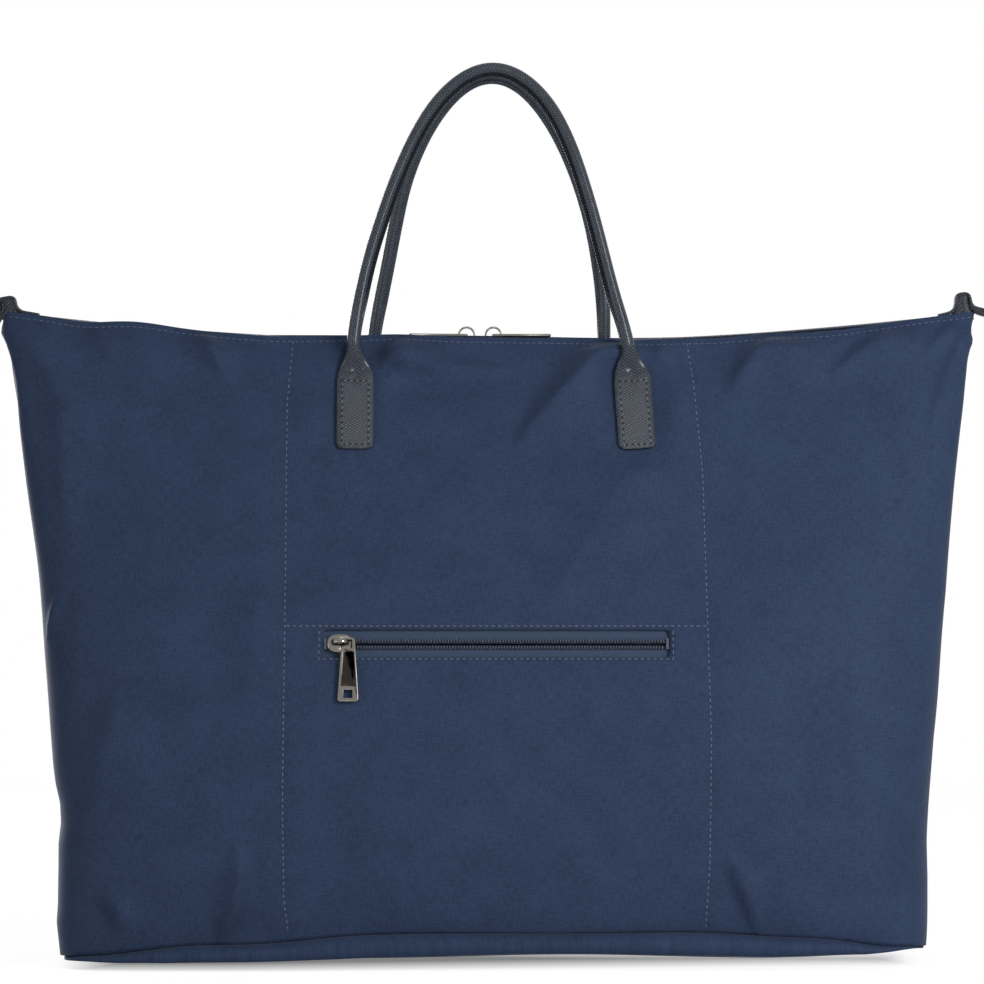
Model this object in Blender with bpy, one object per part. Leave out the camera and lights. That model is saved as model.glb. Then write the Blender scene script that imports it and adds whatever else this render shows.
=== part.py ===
"""Foldable nylon tote bag with rolled leather handles, a zipped mouth and a zipped front pocket.

Metres, +Z up. The origin is the middle of the base's underside, and the front faces -Y.
"""

import math

import bmesh
import bpy
from mathutils import Matrix, Vector

# Bag body: half sizes at the base and the mouth, and the powers that shape its plan and its slope
BASE_HALF_WIDTH = 0.250
SIDE_LEAN = 0.006
SIDE_FLARE = 0.0265
BASE_HALF_DEPTH = 0.100
MOUTH_HALF_DEPTH = 0.008
DEPTH_POWER = 1.8
PLAN_POWER_BASE = 5.0
PLAN_POWER_MIDDLE = 3.4
PLAN_POWER_MOUTH = 8.0
CLOTH = 0.0012
SEAM_GAP = 0.0004
SEAM_MIDDLE = 0.020
SEAM_CORNER = 0.004
PANEL_COLUMNS = 26
PANEL_ROWS = 11

# Base: its flat part, and the rings up to its turned edge, each as an inset and a share of the edge's height
BASE_FLAT_INSET = 0.060
BASE_BELLY = ((0.038, 0.28), (0.016, 0.68), (0.003, 1.0))
BASE_EDGE_SHARE = 0.52
BASE_BULGE_SHARE = 0.72

# Top zip: an arc that hangs lowest in the middle, with the panel's lip above it there
ZIP_MIDDLE = 0.3565
ZIP_HALF = 0.263
ZIP_END_RISE = 0.015
LIP = 0.0035
LIP_HALF = 0.130
ZIP_RADIUS = (ZIP_HALF ** 2 + ZIP_END_RISE ** 2) / (2 * ZIP_END_RISE)
ZIP_CENTRE = ZIP_MIDDLE + ZIP_RADIUS
TAPE = 0.0006
TAPE_TOP = -0.0013
TAPE_EDGE = 0.0008
TAPE_DROP = 0.009
TAPE_CLEAR = 0.0014
TAPE_STATIONS = 26
TOP_COIL_HALF = 0.2565
TOP_STOP = (0.2572, 0.2595)
TOP_RIB_PITCH = 0.005

# Coil ribs, shared by both zips
COIL_INNER = 0.0005
COIL_OUTER = 0.0031
COIL_HALF_HEIGHT = 0.001
RIB_HEIGHT = 0.0008

# Pocket zip and its slot
POCKET_X = 0.0025
POCKET_HEIGHT = 0.184
SLOT_HALF_LENGTH = 0.0985
SLOT_HALF_HEIGHT = 0.0079
SLOT_CORNER = 0.003
POCKET_COIL_DEPTH = 0.0016
POCKET_COIL_HALF = 0.0961
POCKET_RIB_PITCH = 0.0025
POCKET_STOP = (0.0964, 0.0979)
POCKET_TAPE_HALF = 0.1029
POCKET_TAPE_WIDTH = 0.014
POCKET_SLIDER_X = -0.0861

# Pocket lining, held at the two vertical stitch lines
LINING_LEFT = -0.1170
LINING_RIGHT = 0.1226
LINING_BOTTOM = 0.030
LINING_TOP = 0.206
LINING_CLOTH = 0.0006
LINING_DEPTH = 0.010
LINING_EDGE = 0.0018

# Slider, bail and pull
SLIDER_HALF_LENGTH = 0.0075
SLIDER_HALF_WIDTH = 0.0054
SLIDER_OVAL = 2.6
CROWN = ((0.0014, 0.93), (0.0017, 1.0), (0.0024, 0.97), (0.0028, 0.84))
KEEL = ((-0.0032, 0.90), (-0.0029, 1.0), (-0.0022, 1.0))
KEEL_HALF_LENGTH = 0.0065
KEEL_HALF_WIDTH = 0.0042
WEDGE_HALF = 0.00025
FLANGE = (0.0035, 0.0042)
FLANGE_FOOT = -0.0006
FLANGE_HALF_LENGTH = 0.005
BAIL_RADIUS = 0.0046
BAIL_THICK = 0.0012
BAIL_WIDTH = 0.0024
BAIL_FOOT = 0.0031
BAIL_CENTRE = 0.0043
PULL_LENGTH = 0.034
PULL_HALF_NEAR = 0.0038
PULL_HALF_FAR = 0.0061
PULL_HALF_THICK = 0.0008
PULL_EDGE = 0.0003
PULL_CORNER = 0.001
EYE_BAR = 0.0012
EYE_LENGTH = 0.005
EYE_HALF_WIDTH = 0.0022
EYE_PLAY = 0.0009
HANG_PLAY = BAIL_WIDTH / 2 + 0.0004
PANEL_NEAR = 0.0085
PANEL_FAR = 0.0262
PANEL_MARGIN = 0.0014
PANEL_RECESS = 0.0004
HOLE_NEAR = 0.0280
HOLE_FAR = 0.0322
HOLE_HALF_WIDTH = 0.0026
NOSES_MEET = -0.007
NOSE_GAP = 0.0003

# Handles, their tabs and backings
HANDLE_HINGE_Y = 0.0227
HANDLE_HINGE_Z = 0.345
HANDLE_FOOT = 0.005
HANDLE_LEAN = math.radians(3.5)
FRONT_HALF_SPAN = 0.0793
FRONT_RISE = 0.1655
FRONT_ARCH_POWER = 1.36
REAR_HALF_SPAN = 0.0700
REAR_RISE = 0.1630
REAR_ARCH_POWER = 1.6
HANDLE_RINGS = 26
HANDLE_RADIUS = 0.0034
HANDLE_FIN = 0.0058
HANDLE_BORE = 0.0023
HANDLE_SIDES = 8
CORE_RADIUS = 0.0019
CORE_SETBACK = 0.002
CORE_SIDES = 6
TAB_HEIGHT = 0.317
TAB_HALF_WIDTH = 0.0107
TAB_HALF_LENGTH = 0.0235
TAB_CORNER = 0.004
TAB_SHOULDER = 0.0055
TAB_THICK = 0.0022
TAB_GAP = 0.0005
BACKING_HALF_WIDTH = 0.009
BACKING_HALF_LENGTH = 0.020
BACKING_THICK = 0.0008
BACKING_GAP = 0.0008

# Side binding and end loops
BINDING_THICK = 0.0008
BINDING_HALF_WIDTH = 0.006
BINDING_GAP = 0.0012
LOOP_HALF_WIDTH = 0.006
LOOP_STRIP = 0.0018
LOOP_FOOT = 0.2625
LOOP_LEG_IN = 0.2718
LOOP_RADIUS = 0.0023
LOOP_RISE = 0.0068
LOOP_LIFT = 0.0024
TAIL_END = 0.297
TAIL_DROP = 0.0015
TAIL_THICK = 0.0040


def half_width(v):
    return BASE_HALF_WIDTH + SIDE_LEAN * v + SIDE_FLARE * v * v


def half_depth(v):
    return MOUTH_HALF_DEPTH + (BASE_HALF_DEPTH - MOUTH_HALF_DEPTH) * (1 - v ** DEPTH_POWER)


def plan_power(v):
    towards_base = (PLAN_POWER_BASE - PLAN_POWER_MIDDLE) * (1 - v) ** 3
    towards_mouth = (PLAN_POWER_MOUTH - PLAN_POWER_MIDDLE) * v ** 6
    return PLAN_POWER_MIDDLE + towards_base + towards_mouth


def zip_height(x):
    return ZIP_CENTRE - math.sqrt(ZIP_RADIUS ** 2 - x * x)


def edge_height(x):
    return zip_height(x) + LIP * max(0.0, 1 - (x / LIP_HALF) ** 2)


def seam_height(x):
    share = min(1.0, abs(x) / BASE_HALF_WIDTH)
    return SEAM_MIDDLE - (SEAM_MIDDLE - SEAM_CORNER) * share ** 4


def wall_z(x, v):
    return seam_height(x) + v * (edge_height(x) - seam_height(x))


def share_at(x, z):
    """How far up the wall the height z lies, at this x."""
    return (z - seam_height(x)) / (edge_height(x) - seam_height(x))


def wall_point(x, v, inset=0.0):
    """A point of the front wall, or of a surface that lies inset behind it."""
    power = plan_power(v)
    share = min(1.0, abs(x) / (half_width(v) - inset))
    depth = (half_depth(v) - inset) * (1 - share ** power) ** (1 / power)
    return Vector((x, -depth, wall_z(x, v)))


def wall_frame(x, z):
    """Where x and z lie on the front wall: local X along the bag, Y up the wall and Z outwards."""
    v = share_at(x, z)
    step = 0.01
    rise = wall_point(x, v + step) - wall_point(x, v - step)
    tilt = math.atan2(rise.y, rise.z)
    return Matrix.Translation(wall_point(x, v)) @ Matrix.Rotation(math.pi / 2 - tilt, 4, "X")


def spaced(points, count):
    """Evenly spaced points along a polyline, both ends included."""
    lengths = [0.0]
    for a, b in zip(points, points[1:]):
        lengths.append(lengths[-1] + (b - a).length)
    found = []
    place = 0
    for i in range(count + 1):
        target = lengths[-1] * i / count
        while place < len(points) - 2 and lengths[place + 1] < target:
            place += 1
        part = (target - lengths[place]) / (lengths[place + 1] - lengths[place])
        found.append(points[place].lerp(points[place + 1], part))
    return found


def wall_row(v, inset=0.0):
    """Points of the front wall at one height, from the left side seam to the right one."""
    power = plan_power(v)
    wide = half_width(v) - inset
    deep = half_depth(v) - inset - SEAM_GAP
    dense = []
    for i in range(201):
        angle = math.pi / 2 * i / 200
        x = wide * math.sin(angle) ** (2 / power)
        y = -SEAM_GAP - deep * abs(math.cos(angle)) ** (2 / power)
        dense.append(Vector((x, y)))
    right = spaced(dense, PANEL_COLUMNS // 2)
    left = [Vector((-p.x, p.y)) for p in reversed(right[1:])]
    return [Vector((p.x, p.y, wall_z(p.x, v))) for p in left + right]


def on_zip(angle, y, h):
    """A point h above the top zip's middle line, at an angle round the arc's centre."""
    radius = ZIP_RADIUS - h
    return Vector((radius * math.sin(angle), y, ZIP_CENTRE - radius * math.cos(angle)))


def zip_angle(x):
    return math.asin(x / ZIP_RADIUS)


def mirrored(points):
    return [Vector((p.x, -p.y, p.z)) for p in points]


def mesh_from(bm, name, smooth_angle):
    bmesh.ops.recalc_face_normals(bm, faces=bm.faces)
    mesh = bpy.data.meshes.new(name)
    bm.to_mesh(mesh)
    bm.free()
    if smooth_angle:
        mesh.shade_smooth()
        mesh.set_sharp_from_angle(angle=math.radians(smooth_angle))
    return mesh


def loft(name, rings, closed=False, smooth_angle=0):
    """A solid through rings of points, capped at both ends, or closed round on itself."""
    bm = bmesh.new()
    loops = [[bm.verts.new(p) for p in ring] for ring in rings]
    pairs = list(zip(loops, loops[1:]))
    if closed:
        pairs.append((loops[-1], loops[0]))
    else:
        bm.faces.new(loops[0])
        bm.faces.new(loops[-1])
    for low, high in pairs:
        count = len(low)
        for i in range(count):
            j = (i + 1) % count
            bm.faces.new((low[i], low[j], high[j], high[i]))
    return mesh_from(bm, name, smooth_angle)


def shell(name, outer, inner, smooth_angle=30):
    """A sheet with thickness, from an outer and an inner grid of points."""
    bm = bmesh.new()
    front = [[bm.verts.new(p) for p in row] for row in outer]
    back = [[bm.verts.new(p) for p in row] for row in inner]
    rows = len(front)
    columns = len(front[0])
    for i in range(rows - 1):
        for j in range(columns - 1):
            for grid in (front, back):
                bm.faces.new((grid[i][j], grid[i][j + 1], grid[i + 1][j + 1], grid[i + 1][j]))
    rim = [(0, j) for j in range(columns)]
    rim += [(i, columns - 1) for i in range(1, rows)]
    rim += [(rows - 1, j) for j in range(columns - 2, -1, -1)]
    rim += [(i, 0) for i in range(rows - 2, 0, -1)]
    for (a, b), (c, d) in zip(rim, rim[1:] + rim[:1]):
        bm.faces.new((front[a][b], front[c][d], back[c][d], back[a][b]))
    return mesh_from(bm, name, smooth_angle)


def box_mesh(name, low, high):
    corners = [(low[0], low[1]), (high[0], low[1]), (high[0], high[1]), (low[0], high[1])]
    return loft(name, [[Vector((x, y, z)) for x, y in corners] for z in (low[2], high[2])])


def chamfered(half_x, half_y, corner, steps=3):
    """A rectangle's outline with rounded corners."""
    points = []
    for quarter in range(4):
        turn = math.pi / 2 * quarter
        sign_x = 1 if quarter in (0, 3) else -1
        sign_y = 1 if quarter in (0, 1) else -1
        for i in range(steps):
            angle = turn + math.pi / 2 * i / (steps - 1)
            x = sign_x * (half_x - corner) + corner * math.cos(angle)
            y = sign_y * (half_y - corner) + corner * math.sin(angle)
            points.append((x, y))
    return points


def plate(name, outline, low, high):
    return loft(name, [[Vector((x, y, z)) for x, y in outline] for z in (low, high)])


def add(name, mesh, material, parent=None, place=Matrix()):
    obj = bpy.data.objects.new(name, mesh)
    bpy.context.collection.objects.link(obj)
    mesh.materials.clear()
    mesh.materials.append(material)
    obj.parent = parent
    obj.matrix_local = place
    return obj


def add_axis(name, place, parent=None):
    """An empty on a joint's axis, which carries what turns there."""
    empty = bpy.data.objects.new(name, None)
    bpy.context.collection.objects.link(empty)
    empty.parent = parent
    empty.matrix_local = place
    return empty


def combine(target, operands, operation):
    """Joins or cuts a mesh with others and returns the one mesh that results."""
    base = bpy.data.objects.new("blank", target)
    bpy.context.collection.objects.link(base)
    helpers = [base]
    for operand in operands:
        helper = bpy.data.objects.new("operand", operand)
        bpy.context.collection.objects.link(helper)
        helpers.append(helper)
        modifier = base.modifiers.new(operation.lower(), "BOOLEAN")
        modifier.operation = operation
        modifier.solver = "EXACT"
        modifier.object = helper
    graph = bpy.context.evaluated_depsgraph_get()
    result = bpy.data.meshes.new_from_object(base.evaluated_get(graph))
    for helper in helpers:
        bpy.data.objects.remove(helper, do_unlink=True)
    return result


def finish(name, colour, roughness, metallic=0.0):
    material = bpy.data.materials.new(name)
    material.use_nodes = True
    shader = material.node_tree.nodes["Principled BSDF"]
    shader.inputs["Base Color"].default_value = (*colour, 1.0)
    shader.inputs["Roughness"].default_value = roughness
    shader.inputs["Metallic"].default_value = metallic
    return material


# Panels and base

def build_front_panel(nylon, pocket_frame):
    rows = [i / PANEL_ROWS for i in range(PANEL_ROWS + 1)]
    outer = [wall_row(v) for v in rows]
    inner = [wall_row(v, CLOTH) for v in rows]
    sheet = shell("front_panel", outer, inner)
    outline = chamfered(SLOT_HALF_LENGTH, SLOT_HALF_HEIGHT, SLOT_CORNER)
    slot = plate("slot", outline, -5 * CLOTH, 5 * CLOTH)
    slot.transform(pocket_frame)
    add("front_panel", combine(sheet, [slot], "DIFFERENCE"), nylon)


def build_back_panel(nylon):
    rows = [i / PANEL_ROWS for i in range(PANEL_ROWS + 1)]
    outer = [mirrored(wall_row(v)) for v in rows]
    inner = [mirrored(wall_row(v, CLOTH)) for v in rows]
    add("back_panel", shell("back_panel", outer, inner), nylon)


def base_ring(inset, height):
    """The base's outline drawn in by inset, at the height that the function gives for each x."""
    front = wall_row(0.0)
    back = mirrored(reversed(front[1:-1]))
    ring = []
    for p in front + back:
        x = p.x * (1 - inset / BASE_HALF_WIDTH)
        y = p.y * (1 - inset / BASE_HALF_DEPTH)
        ring.append(Vector((x, y, height(p.x))))
    return ring


def build_base(nylon):
    def rim(x):
        return seam_height(x) - SEAM_GAP

    def belly(inset, share, lift=0.0):
        return base_ring(inset, lambda x: share * BASE_EDGE_SHARE * rim(x) + lift)

    def upright(inset, share):
        return base_ring(inset, lambda x: share * rim(x))

    under = [belly(BASE_FLAT_INSET, 0.0)] + [belly(inset, share) for inset, share in BASE_BELLY]
    outside = [upright(0.0, BASE_BULGE_SHARE), upright(0.0, 1.0)]
    inside = [upright(CLOTH, 1.0), upright(CLOTH, BASE_BULGE_SHARE)]
    floor = [belly(inset + CLOTH / 2, share, CLOTH) for inset, share in reversed(BASE_BELLY)]
    floor.append(belly(BASE_FLAT_INSET, 0.0, CLOTH))
    add("base_panel", loft("base_panel", under + outside + inside + floor, smooth_angle=40), nylon)


def build_side_bindings(tape):
    """A strip folded over the seam allowance inside each side, fitted to the panels at each of their rows."""
    for name, sign in (("side_binding_left", -1), ("side_binding_right", 1)):
        rings = []
        for i in range(1, PANEL_ROWS - 1):
            row = wall_row(i / PANEL_ROWS, CLOTH)
            seam = row[-1]
            beside = row[-2]
            half = min(BINDING_HALF_WIDTH, half_depth(i / PANEL_ROWS) / 2)
            part = (half - SEAM_GAP) / (seam.y - beside.y)
            middle = seam.x - BINDING_GAP
            edge = seam.lerp(beside, part).x - BINDING_GAP
            corners = ((edge, -half), (middle, 0.0), (edge, half))
            back = [(x - BINDING_THICK, y) for x, y in reversed(corners)]
            rings.append([Vector((sign * x, y, seam.z)) for x, y in list(corners) + back])
        add(name, loft(name, rings), tape)


def build_pocket_lining(lining):
    """A slack sheet behind the front panel, close to it at its sewn sides and away from it between them."""
    columns = 12
    rows = 7
    grids = []
    for thickness in (0.0, LINING_CLOTH):
        grid = []
        for i in range(rows + 1):
            z = LINING_BOTTOM + (LINING_TOP - LINING_BOTTOM) * i / rows
            up = 2 * i / rows - 1
            row = []
            for j in range(columns + 1):
                across = 2 * j / columns - 1
                x = LINING_LEFT + (LINING_RIGHT - LINING_LEFT) * j / columns
                slack = (1 - abs(across) ** 6) * (1 - abs(up) ** 6)
                point = wall_point(x, share_at(x, z))
                point.y += LINING_EDGE + LINING_DEPTH * slack + thickness
                row.append(point)
            grid.append(row)
        grids.append(grid)
    add("pocket_lining", shell("pocket_lining", grids[0], grids[1]), lining)


# Zips

def coil_half(name, half_length, pitch, place):
    """Half a zip chain: a row of ribs on a flat cord, from the inner to the outer side of the coil."""
    ribs = round(2 * half_length / pitch)
    step = 2 * half_length / ribs
    profile = []
    for i in range(ribs):
        start = -half_length + step * i
        profile.append((start, COIL_HALF_HEIGHT - RIB_HEIGHT))
        profile.append((start + step / 2, COIL_HALF_HEIGHT))
    profile.append((half_length, COIL_HALF_HEIGHT - RIB_HEIGHT))
    below = 16
    for i in range(below + 1):
        profile.append((half_length - 2 * half_length * i / below, -COIL_HALF_HEIGHT))
    rings = [[place(t, y, h) for t, h in profile] for y in (COIL_INNER, COIL_OUTER)]
    return loft(name, rings)


def build_top_tape(name, side, tape):
    """A tape that lies flat beside the coil and turns down inside the panel's edge."""
    rings = []
    for i in range(TAPE_STATIONS + 1):
        x = ZIP_HALF * (2 * i / TAPE_STATIONS - 1)
        angle = zip_angle(x)
        middle = zip_height(x)

        def inside(h):
            return wall_point(x, share_at(x, middle + h), CLOTH).y + TAPE_CLEAR

        bend = TAPE_TOP - 2 * TAPE
        foot = TAPE_TOP - TAPE_DROP
        profile = [
            (-TAPE_EDGE, TAPE_TOP),
            (inside(TAPE_TOP) + 2 * TAPE, TAPE_TOP),
            (inside(bend), bend),
            (inside(foot), foot),
            (inside(foot) + TAPE, foot),
            (inside(bend) + TAPE, bend),
            (inside(TAPE_TOP) + 2 * TAPE, TAPE_TOP - TAPE),
            (-TAPE_EDGE, TAPE_TOP - TAPE),
        ]
        rings.append([on_zip(angle, -side * y, h) for y, h in profile])
    add(name, loft(name, rings), tape)


def build_top_zip(tape, coil, metal):
    for name, side in (("front", -1), ("back", 1)):
        build_top_tape("top_tape_" + name, side, tape)

        def place(t, y, h):
            return on_zip(t / ZIP_RADIUS, side * y, h)

        mesh = coil_half("top_coil_" + name, TOP_COIL_HALF, TOP_RIB_PITCH, place)
        add("top_coil_" + name, mesh, coil)
    for name, sign in (("top_stop_left", -1), ("top_stop_right", 1)):
        rings = []
        for x in TOP_STOP:
            angle = sign * zip_angle(x)
            corners = ((-COIL_OUTER, -COIL_HALF_HEIGHT), (COIL_OUTER, -COIL_HALF_HEIGHT),
                       (COIL_OUTER, COIL_HALF_HEIGHT), (-COIL_OUTER, COIL_HALF_HEIGHT))
            rings.append([on_zip(angle, y, h) for y, h in corners])
        add(name, loft(name, rings), metal)


def build_pocket_zip(tape, coil, metal, frame_axis):
    deep = -POCKET_COIL_DEPTH
    for name, side in (("upper", 1), ("lower", -1)):
        edges = sorted((side * TAPE_EDGE, side * POCKET_TAPE_WIDTH))
        low = (-POCKET_TAPE_HALF, edges[0], deep + TAPE_TOP - TAPE)
        high = (POCKET_TAPE_HALF, edges[1], deep + TAPE_TOP)
        add("pocket_tape_" + name, box_mesh("pocket_tape_" + name, low, high), tape, frame_axis)

        def place(t, y, h):
            return Vector((t, side * y, deep + h))

        mesh = coil_half("pocket_coil_" + name, POCKET_COIL_HALF, POCKET_RIB_PITCH, place)
        add("pocket_coil_" + name, mesh, coil, frame_axis)
    for name, sign in (("pocket_stop_left", -1), ("pocket_stop_right", 1)):
        ends = sorted(sign * x for x in POCKET_STOP)
        low = (ends[0], -COIL_OUTER, deep - COIL_HALF_HEIGHT)
        high = (ends[1], COIL_OUTER, deep + COIL_HALF_HEIGHT)
        add(name, box_mesh(name, low, high), metal, frame_axis)


# Sliders

def oval(half_x, half_y, count=24):
    points = []
    for i in range(count):
        angle = 2 * math.pi * i / count
        c = math.cos(angle)
        s = math.sin(angle)
        x = half_x * math.copysign(abs(c) ** (2 / SLIDER_OVAL), c)
        y = half_y * math.copysign(abs(s) ** (2 / SLIDER_OVAL), s)
        points.append((x, y))
    return points


def slider_mesh():
    """Crown and keel plates joined by the wedge, with a flange down each side of the crown."""
    def stack(name, half_x, half_y, levels):
        rings = []
        for z, share in levels:
            rings.append([Vector((share * x, share * y, z)) for x, y in oval(half_x, half_y)])
        return loft(name, rings)

    crown = stack("crown", SLIDER_HALF_LENGTH, SLIDER_HALF_WIDTH, CROWN)
    keel = stack("keel", KEEL_HALF_LENGTH, KEEL_HALF_WIDTH, KEEL)
    middle = CROWN[1][0]
    wedge_low = (-FLANGE_HALF_LENGTH, -WEDGE_HALF, KEEL[1][0])
    wedge = box_mesh("wedge", wedge_low, (FLANGE_HALF_LENGTH, WEDGE_HALF, middle))
    operands = [keel, wedge]
    for side in (-1, 1):
        edges = sorted(side * y for y in FLANGE)
        low = (-FLANGE_HALF_LENGTH, edges[0], FLANGE_FOOT)
        operands.append(box_mesh("flange", low, (FLANGE_HALF_LENGTH, edges[1], middle)))
    return combine(crown, operands, "UNION")


def bail_mesh():
    """A flat strip bent to a half circle, on two short legs that stand on the crown."""
    path = [(BAIL_RADIUS, BAIL_FOOT, 0.0)]
    steps = 10
    for i in range(steps + 1):
        angle = math.pi * i / steps
        path.append((BAIL_RADIUS * math.cos(angle), BAIL_CENTRE + BAIL_RADIUS * math.sin(angle), angle))
    path.append((-BAIL_RADIUS, BAIL_FOOT, math.pi))
    rings = []
    for x, z, angle in path:
        ring = []
        for out, y in ((-1, -1), (1, -1), (1, 1), (-1, 1)):
            reach = out * BAIL_THICK / 2
            along = x + reach * math.cos(angle)
            ring.append(Vector((along, y * BAIL_WIDTH / 2, z + reach * math.sin(angle))))
        rings.append(ring)
    return loft("bail", rings)


def pull_mesh():
    """A tapered pull along +X: an eye for the bail, a recessed bare panel and a square hole near its end."""
    def half_at(x):
        return PULL_HALF_NEAR + (PULL_HALF_FAR - PULL_HALF_NEAR) * x / PULL_LENGTH

    def outline(edge):
        last = PULL_LENGTH - PULL_CORNER
        near = half_at(PULL_CORNER) - edge
        far = half_at(last) - edge
        half = [
            (edge, near - PULL_CORNER),
            (PULL_CORNER, near),
            (last, far),
            (PULL_LENGTH - edge, far - PULL_CORNER),
        ]
        return half + [(x, -y) for x, y in reversed(half)]

    rings = []
    for edge, z in ((PULL_EDGE, -1), (0.0, -0.6), (0.0, 0.6), (PULL_EDGE, 1)):
        rings.append([Vector((x, y, z * PULL_HALF_THICK)) for x, y in outline(edge)])
    body = loft("pull", rings)
    through = 2 * PULL_HALF_THICK
    eye_far = EYE_BAR + EYE_LENGTH
    eye = box_mesh("eye", (EYE_BAR, -EYE_HALF_WIDTH, -through), (eye_far, EYE_HALF_WIDTH, through))
    hole = box_mesh("hole", (HOLE_NEAR, -HOLE_HALF_WIDTH, -through), (HOLE_FAR, HOLE_HALF_WIDTH, through))
    near = half_at(PANEL_NEAR) - PANEL_MARGIN
    far = half_at(PANEL_FAR) - PANEL_MARGIN
    corners = ((PANEL_NEAR, -near), (PANEL_FAR, -far), (PANEL_FAR, far), (PANEL_NEAR, near))
    recess = plate("recess", corners, PULL_HALF_THICK - PANEL_RECESS, through)
    return combine(body, [eye, hole, recess], "DIFFERENCE")


def build_slider(prefix, axis, place, meshes, metal, pull_place):
    """A slider with its bail on one carrier, and its pull on an empty at the pull's own axis."""
    slider, bail, pull = (mesh.copy() for mesh in meshes)
    add(prefix + "_slider", slider, metal, axis, place)
    add(prefix + "_bail", bail, metal, axis, place)
    hinge = add_axis(prefix + "_pull_axis", place @ pull_place[0], axis)
    add(prefix + "_pull", pull, metal, hinge, pull_place[1])


def build_sliders(metal, pocket_frame):
    meshes = (slider_mesh(), bail_mesh(), pull_mesh())
    beside = SLIDER_HALF_LENGTH + NOSE_GAP
    over_bail = Matrix.Translation((BAIL_RADIUS - EYE_BAR - EYE_LENGTH + EYE_PLAY, 0, 0))
    flat_pull = (Matrix.Translation((0, 0, BAIL_CENTRE)), over_bail)
    for prefix, side, turn in (("top_left", -1, math.pi), ("top_right", 1, 0.0)):
        x = NOSES_MEET + side * beside
        arc = Matrix.Translation((0, 0, ZIP_CENTRE)) @ Matrix.Rotation(-zip_angle(x), 4, "Y")
        axis = add_axis(prefix + "_slider_axis", arc)
        place = Matrix.Translation((0, 0, -ZIP_RADIUS)) @ Matrix.Rotation(turn, 4, "Z")
        build_slider(prefix, axis, place, meshes, metal, flat_pull)
    start = Matrix.Translation((POCKET_SLIDER_X - POCKET_X, 0, -POCKET_COIL_DEPTH))
    axis = add_axis("pocket_slider_axis", pocket_frame @ start)
    hanging = Matrix.Rotation(-math.pi / 2, 4, "Z") @ Matrix.Translation((-EYE_BAR - HANG_PLAY, 0, 0))
    hung_pull = (Matrix.Translation((BAIL_RADIUS, 0, BAIL_CENTRE)), hanging)
    build_slider("pocket", axis, Matrix(), meshes, metal, hung_pull)


# Handles, tabs and end loops

def handle_path(half_span, rise, power, setback=0.0):
    """The arch's middle line in its own plane, from the right leg over the top to the left leg."""
    dense = [Vector((half_span, setback)), Vector((half_span, HANDLE_FOOT))]
    for i in range(1, 200):
        angle = math.pi * i / 200
        height = HANDLE_FOOT + rise * math.sin(angle) ** (2 / power)
        dense.append(Vector((half_span * math.cos(angle), height)))
    dense += [Vector((-half_span, HANDLE_FOOT)), Vector((-half_span, setback))]
    return spaced(dense, HANDLE_RINGS)


def tube_rings(path, radii):
    """Rings of points round a path in the XZ plane. The first radius points to the arch's inner side."""
    rings = []
    last = len(path) - 1
    for i, p in enumerate(path):
        along = (path[min(i + 1, last)] - path[max(i - 1, 0)]).normalized()
        if i in (0, last):
            along = Vector((0, 1 if i == 0 else -1))
        inner = Vector((-along.y, along.x))
        ring = []
        for k, radius in enumerate(radii):
            angle = 2 * math.pi * k / len(radii)
            flat = p + inner * (radius * math.cos(angle))
            ring.append(Vector((flat.x, radius * math.sin(angle), flat.y)))
        rings.append(ring)
    return rings


def build_handle(name, arch, side, leather, rope):
    place = Matrix.Translation((0, side * HANDLE_HINGE_Y, HANDLE_HINGE_Z))
    place = place @ Matrix.Rotation(side * HANDLE_LEAN, 4, "X")
    path = handle_path(*arch)
    outer = tube_rings(path, [HANDLE_FIN] + [HANDLE_RADIUS] * (HANDLE_SIDES - 1))
    inner = tube_rings(path, [HANDLE_BORE] * HANDLE_SIDES)
    sleeve = loft(name, outer + inner[::-1], closed=True, smooth_angle=50)
    add(name, sleeve, leather, place=place)
    core = tube_rings(handle_path(*arch, CORE_SETBACK), [CORE_RADIUS] * CORE_SIDES)
    add(name + "_core", loft(name + "_core", core, smooth_angle=70), rope, place=place)


def tab_outline():
    """A tab with two rounded lower corners and shoulders that draw in towards the handle."""
    low = TAB_CORNER * (1 - math.sqrt(0.5))
    half = [
        (TAB_HALF_WIDTH - TAB_CORNER, -TAB_HALF_LENGTH),
        (TAB_HALF_WIDTH - low, -TAB_HALF_LENGTH + low),
        (TAB_HALF_WIDTH, -TAB_HALF_LENGTH + TAB_CORNER),
        (TAB_HALF_WIDTH, TAB_HALF_LENGTH - TAB_SHOULDER),
        (TAB_HALF_WIDTH - 0.35 * TAB_SHOULDER, TAB_HALF_LENGTH - 0.35 * TAB_SHOULDER),
        (TAB_HALF_WIDTH - TAB_SHOULDER, TAB_HALF_LENGTH),
    ]
    return half + [(-x, y) for x, y in reversed(half)]


def build_tabs(leather, backing):
    for panel, span, turn in (("front", FRONT_HALF_SPAN, 0.0), ("rear", REAR_HALF_SPAN, math.pi)):
        for name, sign in (("left", -1), ("right", 1)):
            frame = Matrix.Rotation(turn, 4, "Z") @ wall_frame(math.cos(turn) * sign * span, TAB_HEIGHT)
            outside = plate("tab", tab_outline(), TAB_GAP, TAB_GAP + TAB_THICK)
            outside.transform(frame)
            add(f"{panel}_tab_{name}", outside, leather)
            depth = -CLOTH - BACKING_GAP
            outline = chamfered(BACKING_HALF_WIDTH, BACKING_HALF_LENGTH, TAB_CORNER)
            inside = plate("backing", outline, depth - BACKING_THICK, depth)
            inside.transform(frame)
            add(f"{panel}_backing_{name}", inside, backing)


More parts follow.
